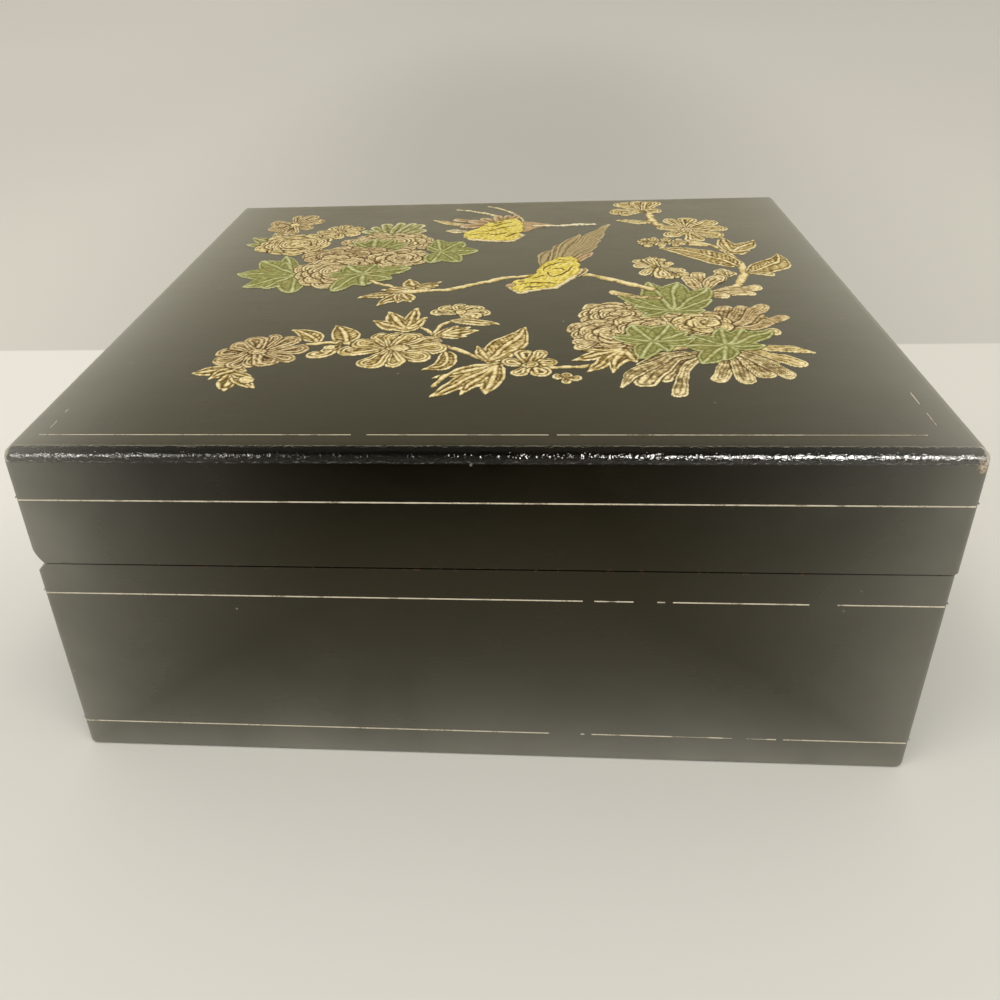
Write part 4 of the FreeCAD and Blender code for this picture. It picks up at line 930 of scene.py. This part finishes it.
def right_cluster(r):
    # Closed grounds under the fans and the flowers
    down(r, [(151, 49), (145.6, 36), (148.6, 34.4), (152.2, 36), (156.2, 36.4), (160.6, 38.2),
            (162.8, 43.2), (160, 50)], (0.15, -1), FAN_GOLD, 0.03)
    down(r, [(143, 48), (128, 33.6), (131.4, 36.2), (134, 36.6), (137, 31.6), (144.4, 46)], (-0.55, -0.83),
            FAN_GOLD, 0.03)
    down(r, [(153, 61), (151.4, 72), (156.4, 74), (161.6, 74.4), (165.4, 70), (160, 62.6)], (0.3, 0.95),
            ROSE_GOLD, 0.03)
    down(r, [(119, 62), (121.6, 75), (133, 79), (149.6, 73), (154, 64), (150, 57), (141, 49.4), (131, 48.8),
            (121.6, 55)], (1, 0.12), BEIGE, 0.03, 1.6)
    finger(r, (143.2, 48), (131.6, 40.6), 4.6, FAN_GOLD, 0.05, bend=-0.1)
    finger(r, (143.4, 46.4), (134.4, 33.4), 4.6, FAN_GOLD, 0.05, bend=-0.07)
    finger(r, (143.8, 47.4), (131, 31.8), 5.2, FAN_GOLD, 0.06, bend=-0.09)
    finger(r, (143.4, 48), (125, 28.8), 3.4, FAN_GOLD, 0.07, bend=-0.1, point=0.25)
    finger(r, (144.2, 46), (137, 25.6), 3.2, FAN_GOLD, 0.07, bend=-0.05)
    fan(finger, r, (151.6, 49), ((146.6, 33.4, 4.2), (152.2, 32.4, 4.6), (156.6, 35.6, 4.2),
            (161.2, 35.2, 4.4)), FAN_GOLD, 0.06, bend=0.03, lines=5)
    finger(r, (153.4, 50), (164.8, 41.4), 4.2, PALE_GOLD, 0.07, bend=0.05)
    finger(r, (154, 51), (169.6, 47), 3.6, PALE_GOLD, 0.07, bend=0.06, point=0.3)
    for tip, width, bend in (((154.6, 75.8), 4.6, 0.04), ((159.4, 76.4), 4.4, 0.02),
            ((163.9, 77.2), 4, -0.02), ((167.4, 69.8), 3.6, -0.08), ((150.4, 72.4), 4.6, 0.1)):
        finger(r, (153.6, 61.2), tip, width, ROSE_GOLD, 0.05, bend, lines=5)
    stem(r, [(143, 66.2), (149.6, 66.2), (154.4, 62.2)], 1.3, PALE_GOLD, 0.1)
    peony(r, (127.4, 72.8), (9.6, 9.2), BEIGE, 0.3, (9, 7, 5), 0.05)
    peony(r, (126.2, 60.6), (11, 9.8), BEIGE, 0.9, (10, 8, 5), 0.07)
    peony(r, (137.4, 63.4), (10.6, 8.6), BEIGE, 0.5, (9, 7, 4), 0.08)
    peony(r, (148.2, 66.4), (6.6, 6), PALE_GOLD, 0.2, (7, 5), 0.07)
    fan(petal, r, (121.4, 53.6), ((115.8, 50.2, 4), (115.6, 55.2, 4)), BEIGE, 0.07)
    finger(r, (152.6, 57.6), (163.4, 60.4), 4.2, PALE_GOLD, 0.09, bend=-0.05)
    lobed(r, (141.4, 74.4), ((128, 89.6, 6), (137.6, 97.6, 8), (145.4, 97.4, 8), (153.4, 92.4, 7.4),
            (152.4, 83, 6.2), (150.2, 75.4, 5), (132.2, 78.6, 6.4), (133.4, 71.8, 4.4)), GREEN, 0.09)
    stem(r, [(138.8, 71.4), (140.4, 64.6), (142, 59.8)], 0.9, PALE_GOLD, 0.14)
    lobed(r, (150.8, 51.2), ((163.2, 60.8, 6), (157.4, 61.4, 5.6), (151.4, 62.4, 5.4), (144.2, 57.4, 6),
            (141.2, 51.8, 5.4), (143.6, 41, 6.4), (149.4, 43.2, 5.4), (160.4, 51.4, 4.4)), GREEN, 0.1)
    lobed(r, (134.8, 54.4), ((130.6, 65.2, 6.6), (139.8, 65.2, 7), (124.8, 57, 5.6), (130.6, 44.4, 6),
            (138, 48.4, 4.6), (145.2, 55.6, 6), (144, 60, 4.4)), GREEN, 0.12)
    finger(r, (139, 85), (127.8, 89.4), 3, PALE_GOLD, 0.12, bend=0.08)


def right_upper_sprays(r):
    stem(r, [(154.8, 132.4), (160.4, 131.6), (163.8, 124.4), (165, 114), (165.2, 104.6), (163.2, 97.8),
            (158.4, 91.4), (152.6, 88.4)], 2.4)
    leaf(r, (164, 110.6), (143.9, 129.6), 9.6, GOLD, 0.05, bend=-0.1, veins=7)
    stem(r, [(139.6, 134.6), (150, 135.8), (157.6, 134), (161.6, 128.6)], 1.7, PALE_GOLD, 0.07)
    spray(r, [(140.4, 135.4), (146, 135.6), (151.6, 134.8)], 4, 3.8, PALE_GOLD, 0.07, 8)
    lobed(r, (165, 124), ((164.4, 139.4, 5.6), (173.8, 135.8, 6.2), (170.6, 125.4, 5)), GOLD, 0.05)
    leaf(r, (165.6, 105.4), (177.4, 121.8), 9.4, GOLD, 0.05, bend=-0.16, veins=5)
    petal(r, (165.8, 105), (173, 102.6), 2.8, PALE_GOLD, 0.08)
    spray(r, [(139.6, 118.4), (142, 110), (146.4, 102.6)], 4.6, 4.4, PALE_GOLD, 0.06, 11)
    fan(petal, r, (141.6, 110.4), ((136.2, 118, 4), (139.4, 119.4, 4), (135, 112.8, 4), (149.2, 106.8, 4),
            (137, 104.6, 4), (142.6, 101.4, 4)), PALE_GOLD, 0.07)
    fan(finger, r, (150.8, 87.2), ((165.6, 92.2, 3.8), (163, 87.6, 3.4), (159.6, 106.2, 4.4),
            (152.2, 103.8, 4.2), (156.4, 100.4, 4), (149, 99.8, 4), (156.4, 86.2, 3.6)), BEIGE, 0.07)
    fan(petal, r, (159.8, 100.8), ((157.4, 106.6, 3.4), (162.2, 105, 3.4)), PALE_GOLD, 0.1)
    # Flower and leaves at the back right
    stem(r, [(145.4, 170), (144.6, 160), (149.4, 150)], 3, GOLD, 0.05)
    fan(petal, r, (155, 148.2), ((157.3, 163.6, 5.4), (150, 162.4, 5.2), (165.2, 158.8, 6.6),
            (167.4, 149.8, 6.6), (164.4, 140.6, 6.4), (156.6, 135.6, 6.2), (148, 141.4, 6),
            (146.2, 152.6, 6.4)), GOLD, 0.06)
    knob(r, (155, 148.2), 2, BEIGE, 0.13)
    fan(petal, r, (143.4, 171.4), ((136.2, 184, 6.6), (142.6, 185, 6.4), (148.6, 184.4, 6.4),
            (131.6, 172, 7), (150, 173.4, 6), (135.2, 168.6, 5)), GOLD, 0.05)
    leaf(r, (144.6, 157.2), (133.4, 160.9), 4.6, PALE_GOLD, 0.07, veins=0)


def upper_left_cluster(r):
    fan(petal, r, (24.8, 162.4), ((16.4, 166.4, 6.4), (24.2, 175, 5.2), (30.6, 175.2, 5.2),
            (33.8, 167.6, 5.6), (31.6, 158.2, 6.4), (17.2, 156.8, 6.8), (24.6, 150.4, 7)), ROSE_GOLD, 0.05)
    knob(r, (25, 162.8), 1.8, PALE_GOLD, 0.12)
    lobed(r, (26, 139.4), ((13.8, 140.2, 8.4), (14.2, 148.4, 6.4), (20.4, 154, 6.4)), OLIVE, 0.04)
    fan(petal, r, (42.6, 153.2), ((34.8, 153.6, 5), (38.6, 159.6, 4.8), (44, 162, 5), (50, 158.2, 5.4),
            (49.4, 149.8, 5.6), (41.8, 145, 5.6), (36, 147.4, 5.2)), GOLD, 0.06)
    knob(r, (42.6, 153.4), 1.7, ROSE_GOLD, 0.12)
    for k, tip in enumerate(((51.8, 152.8), (53.6, 157.2), (57.4, 160.2), (61.8, 161.6), (65.8, 160.6),
            (69.2, 158.8), (70.2, 153.2))):
        finger(r, (61, 144.4), tip, 3.6, OLIVE, 0.05 + 0.006 * (k % 2), lines=1)
    peony(r, (60.8, 139.8), (14.6, 10.4), BEIGE, 0.2, (11, 9, 7, 4), 0.06)
    peony(r, (30.2, 139.8), (11.8, 11.4), PALE_GOLD, 0.5, (10, 8, 6, 4), 0.06)
    lobed(r, (57, 132), ((49.4, 141, 5), (55.4, 143.4, 5.2), (62.4, 142.8, 5.2), (67.8, 138.8, 5),
            (48.4, 131, 4.6), (68, 130.4, 4.8)), GREEN, 0.11)
    lobed(r, (36.8, 108.6), ((18.9, 110.2, 8.6), (24, 122.6, 8.8), (23.7, 97.6, 8.4), (38.9, 92.6, 7.6),
            (31, 121.6, 7), (30.4, 96.6, 6.4), (30, 127.4, 5.4)), GREEN, 0.05)
    peony(r, (50.6, 126.4), (14.6, 8.6), ROSE_GOLD, 0.4, (12, 9, 6), 0.07)
    peony(r, (66, 123), (9, 8.4), BEIGE, 0.9, (9, 7, 4), 0.08)
    peony(r, (48.6, 111.4), (11.8, 14.6), BEIGE, 0.1, (11, 9, 7, 4), 0.09)
    lobed(r, (78.4, 129), ((89.8, 129.6, 7), (84, 139.6, 6.8), (84.6, 118, 7.2), (76, 118.2, 6.8),
            (76.6, 141.6, 5.8), (73.2, 135.4, 4.6)), GREEN, 0.09)
    lobed(r, (56.6, 108.2), ((50.4, 93.6, 6.4), (58.6, 98, 6.6), (66.4, 103.4, 7), (70.4, 113.6, 7),
            (60, 117.4, 6.2), (51.4, 115.8, 6.4), (46.4, 107.2, 5.8)), GREEN, 0.12)


def branch(r):
    stem(r, [(60, 102.3), (66.4, 97.3), (72, 94)], 1.3)
    stem(r, [(66, 89.6), (72.1, 92.5), (83.6, 93.6), (90, 97.9), (98, 103.2), (107, 105.2)], 2.2)
    stem(r, [(114, 104), (120.7, 105.8), (125, 103.2), (130.7, 98.4), (138, 91.4)], 2.2)
    petal(r, (119, 104.2), (120.9, 110.4), 3.4, PALE_GOLD, 0.08)
    fan(leaf, r, (73.4, 94.6), ((71, 103.6, 4.2), (81, 100.6, 4.4), (80.6, 97.8, 3.6), (64, 94.2, 3.8)),
            GOLD, 0.07, veins=3)
    fan(leaf, r, (71, 91.2), ((59, 88, 4.6), (64.8, 81.4, 4.6), (70, 83.2, 4.2), (74.4, 84, 4.6)), GOLD,
            0.07, veins=3)


def birds(r):
    # The far bird, flying to the right
    finger(r, (88.6, 157.2), (72.6, 165.6), 3.4, PALE_GOLD, 0.05, 0.04, lines=2, point=0.3)
    finger(r, (90, 160.6), (80.8, 165.2), 2.6, TAN, 0.06, lines=1)
    finger(r, (87, 149.8), (78.2, 151.6), 3.6, CREAM, 0.06, -0.05, lines=1, point=0.3)
    stem(r, [(79.9, 178.8), (85.6, 176.5), (91.6, 171.9), (96.9, 165)], 1.5, (0.5, 0.44, 0.29), 0.05)
    stem(r, [(90.6, 182.5), (94.8, 179.9), (99, 174.1), (102, 168.9), (103.8, 161)], 1.3, (0.5, 0.41, 0.24),
            0.05)
    down(r, [(100, 163), (106.5, 160.6), (110.9, 158.8), (113.4, 156.6), (106.5, 153), (103.3, 149.4),
            (100, 150)], (1, -0.1), TAN, 0.07)
    stem(r, [(107.4, 156), (111, 155.9), (115.2, 156.5), (119.6, 156.8), (126.3, 156.7)], 1.8,
            (0.86, 0.8, 0.62), 0.09)
    fan(finger, r, (97, 157), ((84.4, 157.6, 4.2), (86.4, 162.6, 4), (90.4, 165.6, 3.8), (94.2, 167.8, 3.2),
            (97.8, 168.4, 2.8), (101, 168.6, 3)), TAN, 0.08, lines=1)
    stem(r, [(84.6, 144.6), (87.4, 141.5), (90.2, 140.9), (94.5, 138.8), (99.2, 139.6), (101.9, 142),
            (102.8, 145.6)], 1.7, CREAM, 0.09)
    body = [(84.5, 146), (86.2, 142.4), (89.8, 142), (94.5, 139.8), (99, 140.4), (101.4, 142.4),
            (102.4, 145.2), (101.9, 148.2), (103, 153.3), (102.6, 160.4), (100.6, 166.2), (98.7, 164.2),
            (96.6, 165.2), (94.2, 161.4), (92.2, 161.6), (89.6, 156.4), (87, 152.6), (84.6, 149.6)]
    down(r, body, (0.75, 0.66), YELLOW, 0.12, 1.5, 0.45)
    for line in ([(86, 146.1), (90.4, 148.2), (94.2, 146.6), (99, 149)], [(87.8, 151.4), (91.9, 150.6),
            (94.6, 152.2), (97.7, 155.3), (101, 157.9)],
            [(89.4, 157.3), (93.4, 155.4), (96, 159.5), (99.8, 160.8)],
            [(97.6, 143.6), (100.2, 146.2), (101.8, 147.9)], [(92, 161.6), (94.4, 159.8), (96.6, 162.8)]):
        cut(r, line, 0.75, (0.62, 0.42, 0.1), 0.1)
    # The near bird, perched with its head to the left and its tail up
    for root, tip, width, tint, lines in (((110, 111), (112.4, 129.6), 6, BRONZE, 3),
            ((112, 112), (116.6, 136.4), 5.6, BRONZE, 3), ((112.6, 112), (121.2, 144.2), 6, BRONZE, 3),
            ((114, 113), (127, 137.6), 4.4, BRONZE, 3), ((116, 112), (123.6, 125.2), 3.4, TAN, 2),
            ((113.6, 113), (128.4, 145), 4.2, BRONZE, 3), ((113, 113), (131.2, 156.4), 4.2, BRONZE, 3)):
        finger(r, root, tip, width, tint, 0.06, 0.02, lines, point=0.2)
    stem(r, [(99.8, 95.4), (101.1, 92.6), (102.6, 90), (104.7, 91.6), (108.3, 92.1), (112.3, 94.4),
            (115.2, 98), (117.8, 103), (119.8, 109.4)], 1.5, CREAM, 0.09)
    body = [(99.7, 96), (101, 99.7), (103.7, 101.9), (106, 104.4), (107.5, 110.3), (108.9, 112.6),
            (110.4, 116.3), (113.4, 120.8), (116.4, 122.5), (119.1, 121), (120, 115.9), (119.4, 109.7),
            (117.4, 103.6), (114.5, 98.2), (111.8, 95), (108.3, 93), (104.7, 92.4), (102.6, 90.8),
            (101.4, 93.2), (100.2, 95.2)]
    down(r, body, (0.5, 0.87), YELLOW, 0.13, 1.4, 0.3)
    for line in ([(109.3, 108.2), (110.4, 112.8), (113.3, 115.5), (116.9, 116.1)], [(110.8, 107.5),
            (111, 103.6), (113.1, 103), (115.5, 106.1), (117.6, 112.4)],
            [(102.4, 96.2), (106.5, 98.3), (110.2, 98.6), (112.9, 97.2)],
            [(103.8, 94), (107, 94.2), (110.2, 95.5)], [(106.5, 102.1), (108.4, 104.2), (109.8, 103.4)],
            [(113.4, 119.6), (114.8, 117.6), (117.8, 118.4)],
            [(112.4, 110.2), (114.4, 111.4), (115.2, 109.6)]):
        cut(r, line, 0.7, (0.62, 0.42, 0.1), 0.11)
    knob(r, (100, 96.6), 1.2, TAN, 0.15)
    knob(r, (103.4, 99), 0.55, BRONZE, 0.17)


def ornament():
    relief = Relief((12, 22), (182, 188))
    for draw in (lower_left_garland, lower_middle_sprigs, right_upper_sprays, right_cluster,
                 upper_left_cluster, branch, birds):
        draw(relief)
    # Faces wherever a corner of the grid's cell stands above the lid
    height = relief.height
    shown = height > relief.UNDER + 0.001
    cells = shown[:-1, :-1] | shown[1:, :-1] | shown[:-1, 1:] | shown[1:, 1:]
    used = np.zeros(height.shape, dtype=bool)
    near_half, far_half = slice(0, -1), slice(1, None)
    for rows in (near_half, far_half):
        for columns in (near_half, far_half):
            used[rows, columns] |= cells
    number = np.full(height.shape, -1)
    number[used] = np.arange(used.sum())
    gx, gy = np.meshgrid(relief.x, relief.y)
    pitting = np.array([noise.noise(Vector((a, b, 0)) * 1.1) for a, b in zip(gx[used], gy[used])])
    z = SURFACE_Z + height[used] + np.where(height[used] > 0.05, 0.012 * pitting, 0)
    z = np.minimum(z, TOP_Z)
    points = np.stack([gx[used] + LEFT_X, gy[used] - HALF_Y, z], axis=1) * MM
    i, j = np.nonzero(cells)
    faces = np.stack([number[i, j], number[i, j + 1], number[i + 1, j + 1], number[i + 1, j]], axis=1)
    mesh = bpy.data.meshes.new("bird_and_flower_relief")
    mesh.from_pydata(points.tolist(), [], faces.tolist())
    mesh.materials.append(relief_paint())
    colour = mesh.color_attributes.new("paint", "FLOAT_COLOR", "POINT")
    rgba = np.ones((len(points), 4))
    rgba[:, :3] = relief.colour[used]
    colour.data.foreach_set("color", rgba.ravel())
    crest = mesh.attributes.new("crest", "FLOAT", "POINT")
    crest.data.foreach_set("value", relief.ridge[used])
    mesh.shade_smooth()
    piece = add_object("bird_and_flower_relief", mesh)
    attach(piece, "lid")


# Velvet linings
def lining(name, low, high, levels, body, material, waver=0.0, size=8.0):
    """A closed mesh through rings of (inset, height, corner radius), ends capped. waver dents it softly."""
    vertices = []
    for inset, z, radius in levels:
        for point in ring(low, high, inset, radius):
            dent = noise.noise(Vector((point.x, point.y, z)) / size) * waver if inset > 0.3 else 0.0
            vertices.append((point.x, point.y, z + dent))
    faces = ring_faces(len(vertices) // len(levels), len(levels))
    return finish_object(name, vertices, faces, body, material)


def velvet_tray(name, node, body, material):
    """A tray lining: padded floor and sides in one, rolled over at the rim."""
    low, high = (Vector(v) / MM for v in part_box(node))
    thick, cove, crown = 1.0, 1.6, 1.3
    roll = thick / 2
    levels = [(0.02, low.z, 1.0), (0.02, high.z - roll, 1.0)]
    for k in range(1, 8):
        angle = math.pi * k / 8
        levels.append((roll * (1 - math.cos(angle)), high.z - roll + roll * math.sin(angle), 1.6))
    foot = low.z + thick + cove
    for k in range(9):
        u = k / 8
        levels.append((thick + 0.55 * math.sin(math.pi * u), high.z - roll + (foot - high.z + roll) * u, 2.2))
    for k in range(1, 6):
        angle = math.pi / 2 * k / 5
        levels.append((thick + cove * (1 - math.cos(angle)), foot - cove * math.sin(angle), 2.6))
    for inset in (3.6, 5, 7, 9.5, 13, 17, 22, 28, 35, 43, 52, 61, 70):
        rise = crown * (1 - math.exp(-(inset - 2.6) / 7))
        levels.append((inset, low.z + thick + rise, 2.6))
    piece = lining(name, low, high, levels, body, material, 0.35, 14)
    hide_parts(node)


def velvet_board(name, node, body, material):
    """A thin board wrapped in velvet, its top edge rolled."""
    low, high = (Vector(v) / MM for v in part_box(node))
    soft = 0.9
    levels = [(0.0, low.z, soft), (0.0, (low.z + high.z) / 2, soft), (0.0, high.z - soft, soft)]
    for k in range(1, 7):
        angle = math.pi / 2 * k / 6
        levels.append((soft * 0.95 * (1 - math.cos(angle)), high.z - soft * (1 - math.sin(angle)), soft))
    piece = lining(name, low, high, levels, body, material)
    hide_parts(node)


def velvet_ceiling(name, node, body, material):
    """The lid's lining: a soft border that swells between the rails and the mirror, flat behind the glass."""
    low, high = (Vector(v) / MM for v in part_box(node))
    edge, reach, swell = 0.4, 20.0, 0.9
    levels = [(0.0, high.z, 1.0), (0.0, low.z + edge, 1.0), (edge, low.z, 1.2)]
    for k in range(1, 13):
        u = k / 12
        levels.append((edge + (reach - edge) * u, low.z - swell * math.sin(math.pi * u), 2.0))
    levels += [(30, low.z, 2.0), (60, low.z, 2.0)]
    levels.reverse()
    piece = lining(name, low, high, levels, body, material)
    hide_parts(node)


# Carried-over pieces of the model
def paint(names, material):
    for name in names:
        data = NODES[name].data
        data.materials.clear()
        data.materials.append(material)


LACQUERED = ("case_left_wall", "case_right_wall", "case_back_wall", "case_front_bottom_rail",
             "case_front_top_rail", "lid_left_rail", "lid_front_rail", "lid_right_rail", "lid_back_rail",
             "drawer_front")
WOOD_ALONG_X = ("case_bottom_board", "drawer_runner_left", "drawer_runner_right", "drawer_guide_left",
                "drawer_guide_right", "drawer_left_side", "drawer_right_side", "drawer_bottom")
WOOD_ALONG_Y = ("compartment_floor", "drawer_back")
BRASSES = ("hinge_left_case_leaf", "hinge_left_lid_leaf", "hinge_left_pin", "hinge_right_case_leaf",
           "hinge_right_lid_leaf", "hinge_right_pin", "hinge_case_screws", "hinge_lid_screws", "crank_stud",
           "crank_washer", "bell_crank", "push_pin", "crank_rivet", "connecting_link", "lid_strap",
           "lid_strap_screws", "strap_rivet", "slot_plate", "slot_plate_screws")

black = lacquer()
paint(LACQUERED, black)
top_panel(black)
gold_lines()
ornament()
red_velvet = velvet()
velvet_tray("compartment_velvet", "compartment_lining", "case", red_velvet)
velvet_tray("drawer_velvet", "drawer_lining", "drawer", red_velvet)
velvet_board("partition_velvet", "linkage_partition", "case", red_velvet)
velvet_ceiling("lid_velvet", "lid_lining", "lid", red_velvet)
paint(WOOD_ALONG_X, plain_wood("wood_grain_x", "x"))
paint(WOOD_ALONG_Y, plain_wood("wood_grain_y", "y"))
paint(BRASSES, brass())
paint(("lid_mirror",), mirror())


# Floor, world and lamps
def stage_floor():
    """A pale floor, painted paler beside the box, towards the left and far back, with a painted shadow
    straight behind the box. In glossy rays only it is painted dark beyond its near side, as a painted dark
    reflection.
    """
    s = Shader("floor_paint")
    x, y, _ = s.axes(s.place())
    # Painted light: the floor beside the box is paler than in front of it, most of all at the left
    beside = s.mix(s.span(x, -60, 60), (0.92, 0.90, 0.84), (0.83, 0.815, 0.745))
    table = s.mix(s.span(y, -95, 30), (0.745, 0.735, 0.685), beside)
    # Beyond y 155 mm the floor takes the wall's colours, painted paler to the left and far back, where less
    # lamp light reaches
    near_wall = s.mix(s.span(x, -250, 150), (0.79, 0.77, 0.70), (0.75, 0.735, 0.665))
    far_wall = s.mix(s.span(x, -900, 0), (0.90, 0.88, 0.81), (0.82, 0.80, 0.745))
    wall = s.mix(s.span(y, 160, 1500), near_wall, far_wall)
    # Painted shadow: the wall colours darkened straight behind the box, fading sideways and far back
    painted_shadow_behind = s.times(s.span(s.absolute(x), 40, 330, 0.26, 0), s.span(y, 300, 1900, 1, 0))
    shown = s.mix(s.span(y, 154, 156), table, s.mix(painted_shadow_behind, wall, (0, 0, 0)))
    # Painted dark reflection: in glossy rays only, the floor turns near black from y -160 mm forwards
    painted_dark_reflection = s.times(s.span(y, -236, -160, 0.98, 0), s.node("LightPath", output="Is Glossy Ray"))
    s.set(Base_Color=s.mix(painted_dark_reflection, shown, (0.01, 0.008, 0.004)), Roughness=0.6)
    side = 6.0
    mesh = bpy.data.meshes.new("floor")
    corners = [(-side, -side, 0), (side, -side, 0), (side, side, 0), (-side, side, 0)]
    mesh.from_pydata(corners, [], [(0, 1, 2, 3)])
    mesh.materials.append(s.material)
    floor = add_object("floor", mesh)


def make_world():
    """Even light all round, while glossy surfaces mirror pale walls, a dim ceiling and a dim near side."""
    world = bpy.data.worlds.new("studio")
    world.use_nodes = True
    n = Nodes(world.node_tree)

    def background(colour, strength):
        return n.node("Background", {"Color": colour, "Strength": strength})

    x, y, z = n.axes(n.node("TexCoord", output="Generated"))
    walls = n.span(z, 0.12, 0.60, 1.0, 0.50)
    ceiling = n.span(z, 0.55, 0.75, 1.0, 0.04)
    near_side = n.span(y, -0.5, -0.05, 0.035, 1.0)
    room = n.times(walls, ceiling, near_side)
    # Two windows low on the near side, left and right of the camera
    flat = n.math("SQRT", n.math("SUBTRACT", 1.0, n.times(x, x)))
    sideways = n.math("DIVIDE", x, flat)
    lift = n.math("DIVIDE", z, flat)
    left_window = n.between(sideways, (-0.64, -0.56, 0.0, 0.4), (-0.50, -0.36, 1.0, 0.0))
    right_window = n.between(sideways, (0.13, 0.26, 0.0, 1.4), (0.27, 0.40, 1.0, 0.15))
    tall = n.between(lift, (0.32, 0.40, 0.0, 1.0), (0.56, 0.66, 1.0, 0.0))
    windows = n.times(n.plus(left_window, right_window), tall, n.span(y, -0.3, -0.2, 6.0, 0.0))
    parts = {0: background((1.0, 0.925, 0.66), room), 1: background((1.0, 0.98, 0.95), windows)}
    mirrored = n.node("AddShader", parts)
    lit = background(WARM_WHITE, 0.66)
    seen = background((0.50, 0.455, 0.405), 1.0)
    glossy = n.node("LightPath", output="Is Glossy Ray")
    camera = n.node("LightPath", output="Is Camera Ray")
    surface = n.node("MixShader", {0: glossy, 1: lit, 2: mirrored})
    surface = n.node("MixShader", {0: camera, 1: surface, 2: seen})
    n.feed(n.tree.nodes.new("ShaderNodeOutputWorld").inputs["Surface"], surface)
    bpy.context.scene.world = world


def lamp(name, place, aim, size, power):
    data = bpy.data.lights.new(name, "AREA")
    data.shape = "RECTANGLE"
    data.size, data.size_y = size
    data.energy = power
    data.color = WARM_WHITE
    light = add_object(name, data)
    light.visible_glossy = False
    light.location = place
    light.rotation_mode = "QUATERNION"
    light.rotation_quaternion = (Vector(aim) - Vector(place)).to_track_quat("-Z", "Y")


stage_floor()
make_world()
lamp("left_strip", (-0.40, -0.42, 1.08), (0, -0.1, 0), (0.34, 0.22), 2.2)
lamp("right_strip", (0.27, -0.42, 1.08), (0, -0.1, 0), (0.30, 0.22), 2.0)
lamp("left_window", (-0.57, -1.13, 0.67), (-0.57, -0.1, 0.08), (0.42, 0.30), 1.8)
lamp("right_window", (0.33, -1.13, 0.67), (0.33, -0.1, 0.08), (0.42, 0.30), 1.8)
bpy.context.scene.view_settings.view_transform = "Standard"
